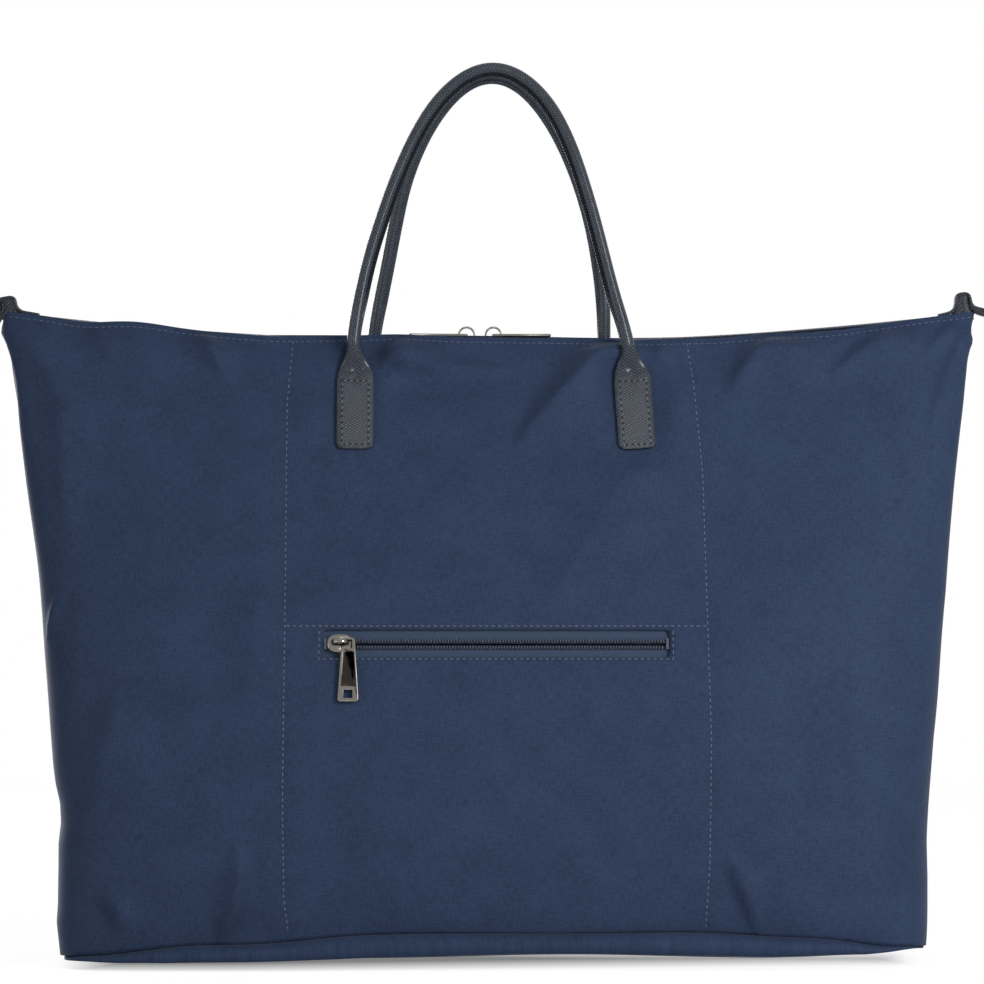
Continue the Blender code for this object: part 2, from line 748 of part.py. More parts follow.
def loop_outline():
    """The side view of an end loop: a foot on the zip, a raised loop and a thicker tail past the corner."""
    foot = zip_height(LOOP_FOOT) + LOOP_LIFT
    bend = zip_height(LOOP_LEG_IN) + LOOP_LIFT
    top = bend + LOOP_RISE
    leg_out = LOOP_LEG_IN + 2 * LOOP_RADIUS
    thin = LOOP_STRIP / 2
    path = [
        (LOOP_FOOT, foot, thin),
        (LOOP_LEG_IN - LOOP_RADIUS, bend, thin),
        (LOOP_LEG_IN, bend + LOOP_RADIUS, thin),
    ]
    steps = 6
    for i in range(steps + 1):
        angle = math.pi - math.pi * i / steps
        x = LOOP_LEG_IN + LOOP_RADIUS + LOOP_RADIUS * math.cos(angle)
        path.append((x, top + LOOP_RADIUS * math.sin(angle), thin))
    path.append((leg_out, bend + 2 * LOOP_RADIUS, thin))
    path.append((leg_out + LOOP_RADIUS, bend + LOOP_RADIUS / 2, 1.2 * thin))
    path.append((leg_out + 3 * LOOP_RADIUS, bend + LOOP_RADIUS / 3, TAIL_THICK / 2))
    path.append((TAIL_END, bend - TAIL_DROP, TAIL_THICK / 2))
    upper = []
    lower = []
    last = len(path) - 1
    for i, (x, z, half) in enumerate(path):
        before = path[max(i - 1, 0)]
        after = path[min(i + 1, last)]
        along = Vector((after[0] - before[0], after[1] - before[1])).normalized()
        upper.append((x - along.y * half, z + along.x * half))
        lower.append((x + along.y * half, z - along.x * half))
    return upper + lower[::-1]


def build_end_loops(leather):
    for name, sign in (("end_loop_left", -1), ("end_loop_right", 1)):
        rings = []
        for y in (-LOOP_HALF_WIDTH, LOOP_HALF_WIDTH):
            rings.append([Vector((sign * x, y, z)) for x, z in loop_outline()])
        add(name, loft(name, rings, smooth_angle=50), leather)


def main():
    for obj in list(bpy.data.objects):
        bpy.data.objects.remove(obj, do_unlink=True)

    nylon = finish("navy_nylon", (0.030, 0.045, 0.095), 0.62)
    lining = finish("navy_lining", (0.020, 0.028, 0.055), 0.75)
    tape = finish("navy_tape", (0.045, 0.055, 0.090), 0.80)
    coil = finish("navy_coil", (0.020, 0.026, 0.050), 0.40)
    leather = finish("navy_leather", (0.030, 0.036, 0.052), 0.48)
    rope = finish("cotton_rope", (0.62, 0.58, 0.50), 0.90)
    backing = finish("backing_felt", (0.050, 0.055, 0.070), 0.95)
    nickel = finish("polished_nickel", (0.78, 0.74, 0.69), 0.12, 1.0)

    pocket_frame = wall_frame(POCKET_X, POCKET_HEIGHT)
    build_front_panel(nylon, pocket_frame)
    build_back_panel(nylon)
    build_base(nylon)
    build_side_bindings(tape)
    build_pocket_lining(lining)
    build_top_zip(tape, coil, nickel)
    build_pocket_zip(tape, coil, nickel, add_axis("pocket_frame", pocket_frame))
    build_sliders(nickel, pocket_frame)
    front_arch = (FRONT_HALF_SPAN, FRONT_RISE, FRONT_ARCH_POWER)
    rear_arch = (REAR_HALF_SPAN, REAR_RISE, REAR_ARCH_POWER)
    build_handle("front_handle", front_arch, -1, leather, rope)
    build_handle("rear_handle", rear_arch, 1, leather, rope)
    build_tabs(leather, backing)
    build_end_loops(leather)


main()
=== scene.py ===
"""Looks of the foldable tote bag: cloth panels, rolled leather handles, zips, stitching, light and camera.

Metres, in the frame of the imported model: +Z is up, the front faces -Y, the bag stands on Z = 0.
"""

import math

import bpy
import numpy as np
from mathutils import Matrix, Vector
from mathutils.bvhtree import BVHTree


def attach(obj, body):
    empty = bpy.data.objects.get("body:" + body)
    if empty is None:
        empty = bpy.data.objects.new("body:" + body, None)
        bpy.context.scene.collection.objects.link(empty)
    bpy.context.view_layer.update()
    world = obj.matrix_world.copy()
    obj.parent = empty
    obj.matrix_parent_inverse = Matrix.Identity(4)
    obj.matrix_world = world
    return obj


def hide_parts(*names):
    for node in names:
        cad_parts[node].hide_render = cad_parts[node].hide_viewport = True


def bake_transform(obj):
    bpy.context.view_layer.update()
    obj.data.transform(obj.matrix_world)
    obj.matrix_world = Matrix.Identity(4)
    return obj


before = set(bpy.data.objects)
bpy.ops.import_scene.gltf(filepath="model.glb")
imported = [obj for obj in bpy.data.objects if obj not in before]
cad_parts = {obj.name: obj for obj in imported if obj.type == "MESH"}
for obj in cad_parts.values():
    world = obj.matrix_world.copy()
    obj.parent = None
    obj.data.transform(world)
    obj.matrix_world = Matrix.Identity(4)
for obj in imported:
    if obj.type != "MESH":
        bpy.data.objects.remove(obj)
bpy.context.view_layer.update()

# Half width of each side of the bag: at the base, and how it grows with the height and with its square
LEFT_HALF = (0.2515, 0.0005, 0.0312)
RIGHT_HALF = (0.2523, 0.0062, 0.0212)
# How much narrower the soft bag hangs than its even outline at each share of its height
LEFT_TRIM = ((0.0, 0.02, 0.052, 0.083, 0.114, 0.145, 0.176, 0.208, 0.239, 0.270, 0.301, 0.363, 0.426, 0.550,
              0.770, 0.820, 0.920, 0.950, 1.0),
             (0.0002, 0.0, -0.0005, 0.0011, 0.0020, 0.0029, 0.0036, 0.0056, 0.0056, 0.0037, 0.0028, 0.0021,
              0.0019, 0.0008, 0.0004, 0.0, 0.0002, 0.0008, 0.0))
RIGHT_TRIM = ((0.0, 0.120, 0.150, 0.180, 0.300, 0.340, 0.395, 0.455, 0.520, 0.570, 0.700, 0.770, 0.830, 0.890,
               0.960, 1.0),
              (0.0019, 0.0019, 0.0023, 0.0028, 0.0029, 0.0031, 0.0024, 0.0016, 0.0006, 0.0, 0.0003, 0.0009,
               0.0017, 0.0021, 0.0018, 0.0002))
# Half depth of the bag, and the powers of its slope and of its plan
BASE_HALF_DEPTH = 0.100
MOUTH_HALF_DEPTH = 0.008
DEPTH_POWER = 1.8
PLAN_POWER_BASE = 7.0
PLAN_POWER_MIDDLE = 4.4
PLAN_POWER_MOUTH = 8.0
PLAN_FADE_BASE = 3
PLAN_FADE_MOUTH = 6
# The solid panel's even wall, on which places picked in the photo are laid: half width and powers of its plan
SOLID_HALF = (0.250, 0.006, 0.0265)
SOLID_POWER_BASE = 5.0
SOLID_POWER_MIDDLE = 3.4
# Cloth, its seam at the base and its rolled edge
CLOTH = 0.0008
SEAM_GAP = 0.0004
SEAM_MIDDLE = 0.020
SEAM_CORNER = 0.004
SEAM_POWER = 4
EDGE_CURL = 0.0011
SIDE_SAMPLES = 240

# Top zip: an arc that hangs lowest in the middle
ZIP_MIDDLE = 0.3565
ZIP_HALF = 0.263
ZIP_END_RISE = 0.015
ZIP_RADIUS = (ZIP_HALF ** 2 + ZIP_END_RISE ** 2) / (2 * ZIP_END_RISE)
ZIP_CENTRE = ZIP_MIDDLE + ZIP_RADIUS
LIP = 0.0035
LIP_HALF = 0.130

# Pocket window, its zip and its stitched frame
POCKET_X = 0.0025
POCKET_HEIGHT = 0.184
SLOT_HALF_LENGTH = 0.0985
SLOT_HALF_HEIGHT = 0.0079
SLOT_CORNER = 0.003
SLOT_TURN_IN = 0.0016
POCKET_COIL_DEPTH = 0.0016

# The camera, the photo's scale and its middle pixel, and how places picked in it are worked out and rounded
CAMERA_DISTANCE = 3.5
CAMERA_HEIGHT = 0.27
PIXEL = 0.00058
FOLD_PIXEL = 0.00057
PHOTO_MIDDLE = 492
PICK_ROUNDS = 20
PICK_DIGITS = 4
MILLIMETRE = 0.001


# Shader helpers. A mix node's two colours are its seventh and eighth inputs.
MIX_COLOURS = slice(6, 8)


class Value:
    """A shader socket that takes part in Python expressions by adding Math nodes."""

    def __init__(self, owner, socket):
        self.owner = owner
        self.socket = socket

    def maths(self, operation, *others):
        return self.owner.node("ShaderNodeMath", {"operation": operation}, self, *others)

    def __add__(self, other):
        return self.maths("ADD", other)

    def __mul__(self, other):
        return self.maths("MULTIPLY", other)

    def __sub__(self, other):
        return self.maths("SUBTRACT", other)

    def __rsub__(self, other):
        return self.owner.node("ShaderNodeMath", {"operation": "SUBTRACT"}, other, self)

    __radd__ = __add__
    __rmul__ = __mul__

    def wave(self, pitch):
        """A sine of this length, from 0 to 1."""
        return (self * (2 * math.pi / pitch)).maths("SINE") * 0.5 + 0.5

    def between(self, low, high):
        """0 below low, 1 above high, and smooth between them."""
        settings = {"interpolation_type": "SMOOTHSTEP", "clamp": True}
        return self.owner.node("ShaderNodeMapRange", settings, self, low, high, 0.0, 1.0)


class Nodes:
    """A node tree that grows by short calls."""

    def __init__(self, tree):
        self.tree = tree

    def node(self, kind, settings, *inputs, out=0, **named):
        """Adds a node. A Value is linked to its input, and anything else is set there."""
        node = self.tree.nodes.new(kind)
        for name, value in settings.items():
            setattr(node, name, value)
        pairs = [(node.inputs[i], value) for i, value in enumerate(inputs)]
        pairs += [(node.inputs[name], value) for name, value in named.items()]
        for socket, value in pairs:
            if isinstance(value, Value):
                self.tree.links.new(value.socket, socket)
            else:
                socket.default_value = value
        return Value(self, node.outputs[out])


class Finish(Nodes):
    """A material whose shader sockets are fixed by name and whose varying inputs are linked by feed."""

    def __init__(self, name, fixed):
        self.material = bpy.data.materials.new(name)
        self.material.use_nodes = True
        super().__init__(self.material.node_tree)
        self.shader = self.tree.nodes["Principled BSDF"]
        for socket, value in fixed.items():
            self.shader.inputs[socket].default_value = value

    def feed(self, **sockets):
        for name, value in sockets.items():
            self.tree.links.new(value.socket, self.shader.inputs[name.replace("_", " ")])
        return self.material

    def place(self):
        """Object coordinates, which are the frame's own metres."""
        return self.node("ShaderNodeTexCoord", {}, out=3)

    def cloth_map(self):
        """The piece's own map, in metres along and across it."""
        return self.node("ShaderNodeUVMap", {"uv_map": "UVMap"})

    def parts(self, vector):
        split = self.node("ShaderNodeSeparateXYZ", {}, vector).socket.node
        return [Value(self, socket) for socket in split.outputs]

    def stretched(self, vector, scale):
        return self.node("ShaderNodeMapping", {}, vector, Scale=scale)

    def noise(self, vector, scale, detail=2.0, rough=0.5):
        return self.node("ShaderNodeTexNoise", {}, vector, Scale=scale, Detail=detail, Roughness=rough)

    def mix(self, factor, first, second):
        """A colour between two, each a Value or a red, green and blue."""
        result = self.node("ShaderNodeMix", {"data_type": "RGBA", "clamp_factor": True}, factor, out=2)
        for socket, colour in zip(result.socket.node.inputs[MIX_COLOURS], (first, second)):
            if isinstance(colour, Value):
                self.tree.links.new(colour.socket, socket)
            else:
                socket.default_value = (*colour, 1.0)
        return result

    def bump(self, height, distance, strength=1.0):
        return self.node("ShaderNodeBump", {}, Strength=strength, Distance=distance, Height=height)


def plain(name, colour, roughness):
    """A material of one colour."""
    return Finish(name, {"Base Color": (*colour, 1.0), "Roughness": roughness}).material


def scaled(colour, factor):
    return tuple(value * factor for value in colour)


# Mesh helpers

def alone(obj):
    bpy.ops.object.select_all(action="DESELECT")
    obj.select_set(True)
    bpy.context.view_layer.objects.active = obj


def apply_modifier(obj, kind, **settings):
    alone(obj)
    modifier = obj.modifiers.new(kind.lower(), kind)
    for name, value in settings.items():
        setattr(modifier, name, value)
    bpy.ops.object.modifier_apply(modifier=modifier.name)


def edit(obj, *steps):
    """Runs mesh operators on the whole of a piece, each given with its settings."""
    alone(obj)
    bpy.ops.object.mode_set(mode="EDIT")
    for operator, settings in steps:
        bpy.ops.mesh.select_all(action="SELECT")
        operator(**settings)
    bpy.ops.object.mode_set(mode="OBJECT")


def grid_piece(name, points, uv, wrap=False):
    """A grid laid on rows of points, with a map in metres. A wrapped grid closes on itself along its rows."""
    rows, columns = points.shape[:2]
    bpy.ops.object.select_all(action="DESELECT")
    bpy.ops.mesh.primitive_grid_add(x_subdivisions=columns - 1, y_subdivisions=rows - 1, size=1)
    obj = bpy.context.object
    obj.name = name
    mesh = obj.data
    mesh.name = name
    mesh.vertices.foreach_set("co", points.reshape(-1).astype(np.float32))
    corner = np.zeros(len(mesh.loops), int)
    mesh.loops.foreach_get("vertex_index", corner)
    mesh.uv_layers[0].name = "UVMap"
    mesh.uv_layers[0].data.foreach_set("uv", uv.reshape(-1, 2)[corner].reshape(-1).astype(np.float32))
    mesh.polygons.foreach_set("use_smooth", [True] * len(mesh.polygons))
    if wrap:
        edit(obj, (bpy.ops.mesh.remove_doubles, {"threshold": 1e-7}))
    mesh.update()
    return obj


def fill_holes(obj):
    edit(obj, (bpy.ops.mesh.fill_holes, {"sides": 0}),
         (bpy.ops.mesh.normals_make_consistent, {"inside": False}))


def dress(obj, material):
    obj.data.materials.clear()
    obj.data.materials.append(material)
    return obj


def unit(vectors):
    return vectors / np.linalg.norm(vectors, axis=-1, keepdims=True)


def lengths_along(points):
    """Running length along the last but one axis of an array of points."""
    steps = np.linalg.norm(np.diff(points, axis=-2), axis=-1)
    start = np.zeros(steps.shape[:-1] + (1,))
    return np.concatenate([start, np.cumsum(steps, axis=-1)], axis=-1)


def normals_of(points):
    """Unit normals of a grid of points, pointing to the side where rows turn left into columns."""
    across = np.gradient(points, axis=1)
    up = np.gradient(points, axis=0)
    normal = np.cross(across, up)
    return normal / np.maximum(np.linalg.norm(normal, axis=2, keepdims=True), 1e-12)


# Bag surface

def half_width(x, v):
    left, right = [wide + slope * v + curve * v * v - np.interp(v, *trim)
                   for (wide, slope, curve), trim in ((LEFT_HALF, LEFT_TRIM), (RIGHT_HALF, RIGHT_TRIM))]
    return np.where(x < 0, left, right)


def half_depth(v):
    return MOUTH_HALF_DEPTH + (BASE_HALF_DEPTH - MOUTH_HALF_DEPTH) * (1 - v ** DEPTH_POWER)


def plan_power(v):
    towards_base = (PLAN_POWER_BASE - PLAN_POWER_MIDDLE) * (1 - v) ** PLAN_FADE_BASE
    towards_mouth = (PLAN_POWER_MOUTH - PLAN_POWER_MIDDLE) * v ** PLAN_FADE_MOUTH
    return PLAN_POWER_MIDDLE + towards_base + towards_mouth


def zip_height(x):
    return ZIP_CENTRE - np.sqrt(ZIP_RADIUS ** 2 - x * x)


def hump(x, middle, width):
    return np.exp(-((x - middle) / width) ** 2)


# Where the slack front edge stands above or below its even line: place, width and height of each wave
LIP_WAVES = ((-0.236, 0.015, -0.0014), (-0.204, 0.022, 0.0019), (-0.120, 0.050, -0.0009),
             (-0.055, 0.022, 0.0010), (0.045, 0.095, -0.0019), (0.083, 0.030, -0.0014),
             (0.130, 0.030, -0.0010), (0.196, 0.036, -0.0024))
BACK_LIP_WAVES = ((0.075, 0.060, -0.0016),)
# The same along the base seam of the front, and at the bag's two ends
SEAM_WAVES = ((-0.215, 0.030, -0.0018), (-0.145, 0.055, -0.0033), (-0.125, 0.035, -0.0012),
              (0.125, 0.040, 0.0014), (0.205, 0.036, 0.0028))
END_WAVES = ((-0.252, 0.022, 0.0024), (0.252, 0.022, 0.0066))


def edge_height(x):
    return zip_height(x) + LIP * np.maximum(0.0, 1 - (x / LIP_HALF) ** 2)


def seam_height(x):
    share = np.minimum(1.0, np.abs(x) / LEFT_HALF[0])
    return SEAM_MIDDLE - (SEAM_MIDDLE - SEAM_CORNER) * share ** SEAM_POWER


def wavy(x, waves):
    return sum(height * hump(x, middle, width) for middle, width, height in waves)


def wall_depth(x, v):
    power = plan_power(v)
    share = np.minimum(1.0, np.abs(x) / half_width(x, v))
    return half_depth(v) * (1 - share ** power) ** (1 / power)


def wall_at(x, z):
    """The front wall's depth at a place seen from the front."""
    v = (z - seam_height(x)) / (edge_height(x) - seam_height(x))
    return -wall_depth(x, np.clip(v, 0.0, 1.0))


def wall_rows(shares, middle_x, side_count):
    """The front wall as rows of points: fixed columns in the middle, evenly spread ones round the sides."""
    rows = []
    for v in shares:
        row_x = [middle_x]
        row_y = [-wall_depth(middle_x, v)]
        for sign in (-1, 1):
            start = middle_x[0] if sign < 0 else middle_x[-1]
            wide = half_width(start, v)
            power = plan_power(v)
            begin = math.asin(min(1.0, (abs(start) / wide) ** (power / 2)))
            angle = np.linspace(begin, math.pi / 2, SIDE_SAMPLES)
            x = sign * wide * np.sin(angle) ** (2 / power)
            y = -SEAM_GAP - (half_depth(v) - SEAM_GAP) * np.abs(np.cos(angle)) ** (2 / power)
            along = lengths_along(np.stack([x, y], axis=1))
            even = np.linspace(0, along[-1], side_count + 1)[1:]
            x = np.interp(even, along, x)
            y = np.interp(even, along, y)
            row_x = [x[::-1]] + row_x if sign < 0 else row_x + [x]
            row_y = [y[::-1]] + row_y if sign < 0 else row_y + [y]
        x = np.concatenate(row_x)
        y = np.concatenate(row_y)
        z = seam_height(x) + v * (edge_height(x) - seam_height(x))
        rows.append(np.stack([x, y, z], axis=1))
    return np.array(rows)


def solid_wall(x, z):
    """The solid front panel's depth at a place seen from the front."""
    v = np.clip((z - seam_height(x)) / (edge_height(x) - seam_height(x)), 0.0, 1.0)
    wide, slope, curve = SOLID_HALF
    towards_base = (SOLID_POWER_BASE - SOLID_POWER_MIDDLE) * (1 - v) ** PLAN_FADE_BASE
    towards_mouth = (PLAN_POWER_MOUTH - SOLID_POWER_MIDDLE) * v ** PLAN_FADE_MOUTH
    power = SOLID_POWER_MIDDLE + towards_base + towards_mouth
    share = min(1.0, abs(x) / (wide + slope * v + curve * v * v))
    return -half_depth(v) * (1 - share ** power) ** (1 / power)


def picked(across, down):
    """The place on the solid panel, as seen from the front, that shows at a pixel of the photo."""
    depth = 0.0
    for _ in range(PICK_ROUNDS):
        size = PIXEL * (CAMERA_DISTANCE + depth) / CAMERA_DISTANCE
        x = (across - PHOTO_MIDDLE) * size
        z = CAMERA_HEIGHT - (down - PHOTO_MIDDLE) * size
        depth = solid_wall(x, z)
    return round(x, PICK_DIGITS), round(z, PICK_DIGITS)


def laid(crest, left, right, height):
    """A fold that was picked in the photo, as places on the wall and sizes in metres."""
    sizes = (left * FOLD_PIXEL, right * FOLD_PIXEL, height * MILLIMETRE)
    return ([picked(*pixel) for pixel in crest], *[round(size, PICK_DIGITS) for size in sizes])


# Folds of the front, read off the photo: a crest from its low end up and its reach to each side,
# left first, all in pixels, and its height in millimetres
PICKED_FOLDS = (
    (((110, 358), (104, 345), (92, 331)), 20, 50, 3.2),
    (((221, 376), (212, 354), (204, 337)), 34, 80, 5.6),
    (((336, 378), (342, 360), (346, 342)), 55, 12, 3.4),
    (((377, 376), (388, 360), (404, 341)), 28, 70, 4.8),
    (((512, 373), (470, 371), (430, 369), (403, 366)), 15, 40, 3.4),
    (((526, 432), (560, 397), (590, 370), (612, 350)), 50, 110, 6.8),
    (((654, 373), (658, 358), (662, 343)), 16, 40, 3.0),
    (((737, 380), (755, 358), (771, 342)), 50, 100, 5.6),
    (((837, 370), (862, 352), (887, 336)), 20, 70, 3.8),
    (((924, 355), (937, 342), (950, 327)), 12, 26, 2.2),
    (((938, 480), (934, 415), (949, 372), (964, 340)), 17, 14, 2.4),
    (((66, 520), (63, 460), (61, 400), (40, 360), (16, 327)), 46, 90, 3.4),
    (((94, 798), (106, 765), (113, 738), (116, 700)), 50, 90, 3.4),
    (((222, 937), (237, 908), (241, 880), (239, 848)), 42, 16, 4.6),
    (((759, 934), (748, 897), (742, 884), (729, 855)), 15, 30, 3.2),
    (((123, 938), (121, 917), (112, 903), (96, 893)), 11, 30, 2.6),
    (((560, 590), (610, 500), (660, 430), (690, 380)), 80, 80, 1.8),
    (((880, 900), (856, 800), (850, 700)), 60, 60, 1.6),
    (((50, 640), (56, 612), (63, 584)), 10, 12, 1.6),
    (((250, 700), (255, 620), (262, 560)), 60, 80, 1.4),
)
FRONT_FOLDS = [laid(*fold) for fold in PICKED_FOLDS]
# Folds of the back, which no photo shows: places in metres, and the same sizes in metres
BACK_FOLDS = (
    (((-0.2350, 0.2900), (-0.2580, 0.3620)), 0.0120, 0.0180, 0.0020),
    (((0.2320, 0.2850), (0.2460, 0.3250), (0.2590, 0.3640)), 0.0120, 0.0180, 0.0020),
    (((-0.1200, 0.3350), (-0.0950, 0.3520)), 0.0100, 0.0150, 0.0018),
    (((-0.0100, 0.3200), (0.0300, 0.3520)), 0.0110, 0.0170, 0.0020),
    (((0.1500, 0.3350), (0.1850, 0.3550)), 0.0110, 0.0150, 0.0018),
    (((-0.1500, 0.0240), (-0.1600, 0.0620)), 0.0090, 0.0110, 0.0018),
    (((0.2280, 0.0240), (0.2220, 0.0360), (0.2050, 0.0420)), 0.0070, 0.0070, -0.0016),
)

# Stitch lines of the front, as places seen from the front
LEFT_LINE = ((-0.1150, 0.358), (-0.1178, 0.322), (-0.1177, 0.192), (-0.1184, 0.096), (-0.1176, 0.040),
             (-0.1152, 0.022))
RIGHT_LINE = ((0.1126, 0.357), (0.1162, 0.332), (0.1206, 0.282), (0.1226, 0.192), (0.1241, 0.130),
              (0.1230, 0.062), (0.1206, 0.023))
POCKET_LINE = (-0.1178, 0.1226)
POCKET_LINE_HEIGHT = 0.1939
FRAME_LEFT = -0.0982
FRAME_RIGHT = 0.1028
FRAME_LOW = 0.1753
FRAME_BELOW_LINE = 0.002
FRAME_HIGH = POCKET_LINE_HEIGHT - FRAME_BELOW_LINE

# Parts of the walls that lie flat, under the pocket zip and the tabs: left, right, low and high
POCKET_BOX = ((-0.104, 0.109, 0.172, 0.196),)
FRONT_TAB_BOXES = ((-0.0905, -0.0667, 0.292, 0.339), (0.0695, 0.0955, 0.292, 0.339))
REAR_TAB_BOXES = ((-0.0820, -0.0580, 0.292, 0.339), (0.0580, 0.0820, 0.292, 0.339))

# Folds: their scale, the steps along a crest, the size of a low tip, and the height where they stay open
FOLD_SCALE = 2.4
FOLD_STEPS = 40
FOLD_TIP = 0.3
FOLD_OPEN_HEIGHT = 0.335
# Long and short waves of slack cloth: height, length across and length up. The long ones wander.
LONG_WAVE = (0.0011, 0.031, 0.047)
LONG_WANDER = (2.1, 0.055)
SHORT_WAVE = (0.0007, 0.019, 0.026)
UP_PHASE = 1.3
FRONT_PHASE = 0.4
BACK_PHASE = 2.6
# How far the cloth lies flat around the pocket zip and the tabs
POCKET_CALM = 0.018
TAB_CALM = 0.008
# How the lowest part of a wall turns in towards the base seam
TUCK_DEPTH = 0.0085
TUCK_HALF = 0.25
TUCK_END_SHARE = 0.45
TUCK_END_POWER = 8
TUCK_REACH = 0.028
# How far the cloth may sink in front of the top zip's tape, and below it
TAPE_ROOM = 0.0004
TAPE_REACH = 0.018
TAPE_SLOPE = 0.6
# Dips and puckers along stitching
STITCH_DIP = 0.0005
STITCH_DIP_REACH = 0.0024
PUCKER = 0.00022
PUCKER_PITCH = 0.0085
PUCKER_REACH = 0.006
POCKET_LINE_HALF = 0.119
POCKET_LINE_FADE = 0.0012
# Rows turned in along the base seam, as depth and rise, and the turns in degrees of the rolled hem
SEAM_ROWS = ((0.0062, 0.0022), (0.0044, 0.0009), (0.0018, 0.0))
HEM_TURNS = (40, 80, 120, 160, 180)
HEM_DROP = 0.003
# Shares of a wall's height that wave at an edge and lie flat at the lip, and depths over which relief fades
WAVY_SHARE = 0.3
FLAT_LIP_SHARE = 0.03
FRONT_FADE = 0.02
SIDE_FADE = 0.004


def along_line(points, count):
    """Evenly spread places on a line through a few points."""
    points = np.array(points, float)
    along = lengths_along(points)
    even = np.linspace(0, along[-1], count)
    return np.stack([np.interp(even, along, points[:, i]) for i in range(points.shape[1])], axis=1)


def fold_relief(x, z, folds):
    """Creased folds: each falls away to both sides of its crest and narrows to a tip at its low end."""
    relief = np.zeros_like(x)
    for points, left, right, height in folds:
        line = along_line(points, FOLD_STEPS)
        run = np.gradient(line, axis=0)
        share = np.linspace(0, 1, len(line))
        grown = share if line[-1, 1] > FOLD_OPEN_HEIGHT else np.sin(math.pi * share)
        nearest = np.full_like(x, np.inf)
        size = np.ones_like(x)
        reach = np.full_like(x, right)
        for (px, pz), (dx, dz), part in zip(line, run, FOLD_TIP + (1 - FOLD_TIP) * grown):
            distance = (x - px) ** 2 + (z - pz) ** 2
            closer = distance < nearest
            nearest = np.where(closer, distance, nearest)
            size = np.where(closer, part, size)
            reach = np.where(closer, np.where(dx * (z - pz) - dz * (x - px) > 0, left, right), reach)
        relief += FOLD_SCALE * height * size * np.clip(1 - np.sqrt(nearest) / (reach * size), 0, 1) ** 2
    return relief


def slack_relief(x, z, phase):
    """The long soft waves of cloth that hangs under no load."""
    height, across, up = LONG_WAVE
    swing, swing_up = LONG_WANDER
    waves = height * np.sin(x / across + swing * np.sin(z / swing_up) + phase)
    waves = waves * np.sin(z / up + UP_PHASE * phase)
    height, across, up = SHORT_WAVE
    return waves + height * np.sin(x / across - z / up + 2 * phase)


def beside_line(x, z, points, reach):
    """1 on a stitch line that runs up the wall, fading to 0 beside it."""
    points = np.array(sorted(points, key=lambda p: p[1]))
    middle = np.interp(z, points[:, 1], points[:, 0])
    return hump(x, middle, reach)


def calm(x, z, boxes, fade):
    """0 inside boxes of the wall that lie flat, rising to 1 away from them."""
    free = np.ones_like(x)
    for left, right, low, high in boxes:
        side = np.maximum(0.0, np.maximum(left - x, x - right))
        rise = np.maximum(0.0, np.maximum(low - z, z - high))
        free *= 1 - np.exp(-(side ** 2 + rise ** 2) / fade ** 2)
    return free


def tuck(x, z):
    """How far the lowest part of a wall turns in towards the base seam."""
    depth = TUCK_DEPTH * (1 - (1 - TUCK_END_SHARE) * np.minimum(1.0, np.abs(x) / TUCK_HALF) ** TUCK_END_POWER)
    return -depth * np.exp(-np.maximum(0.0, z - seam_height(x)) / TUCK_REACH)


def front_relief(x, z):
    slack = calm(x, z, POCKET_BOX, POCKET_CALM) * slack_relief(x, z, FRONT_PHASE)
    folds = fold_relief(x, z, FRONT_FOLDS)
    relief = calm(x, z, FRONT_TAB_BOXES, TAB_CALM) * (folds + slack) + tuck(x, z)
    for line in (LEFT_LINE, RIGHT_LINE):
        relief -= STITCH_DIP * beside_line(x, z, line, STITCH_DIP_REACH)
        relief += PUCKER * np.sin(2 * math.pi * z / PUCKER_PITCH) * beside_line(x, z, line, PUCKER_REACH)
    inside = 1 / (1 + np.exp((np.abs(x - POCKET_X) - POCKET_LINE_HALF) / POCKET_LINE_FADE))
    relief -= STITCH_DIP * inside * hump(z, POCKET_LINE_HEIGHT, STITCH_DIP_REACH)
    return relief


def back_relief(x, z):
    relief = fold_relief(x, z, BACK_FOLDS) + slack_relief(x, z, BACK_PHASE)
    return calm(x, z, REAR_TAB_BOXES, TAB_CALM) * relief + tuck(x, z)


def with_lines(even, lines, clear):
    """Evenly spread values with a few exact ones put in, and none too close to those."""
    kept = [value for value in even if min(abs(value - line) for line in lines) > clear]
    return np.array(sorted(kept + list(lines)))


def seam_and_hem(points, normals):
    """Adds the turned-in rows along the base seam and the rolled hem along the mouth."""
    below = []
    for inward, rise in SEAM_ROWS:
        row = points[0] - normals[0] * inward
        row[:, 2] = points[0][:, 2] + rise
        below.append(row)
    level = unit(normals[-1] * np.array([1.0, 1.0, 0.0]))
    above = []
    for degrees in HEM_TURNS:
        turn = math.radians(degrees)
        row = points[-1] - level * EDGE_CURL * (1 - math.cos(turn))
        row[:, 2] += EDGE_CURL * math.sin(turn)
        above.append(row)
    hem = above[-1].copy()
    hem[:, 2] -= HEM_DROP
    return np.concatenate([np.array(below), points, np.array(above + [hem])])


def wall_uv(points):
    """A map of a wall: along it from its middle column, and up it from its lowest row."""
    along = lengths_along(points)
    middle = points.shape[1] // 2
    up = lengths_along(points.transpose(1, 0, 2)).T
    return np.stack([along - along[:, middle:middle + 1], up], axis=2)


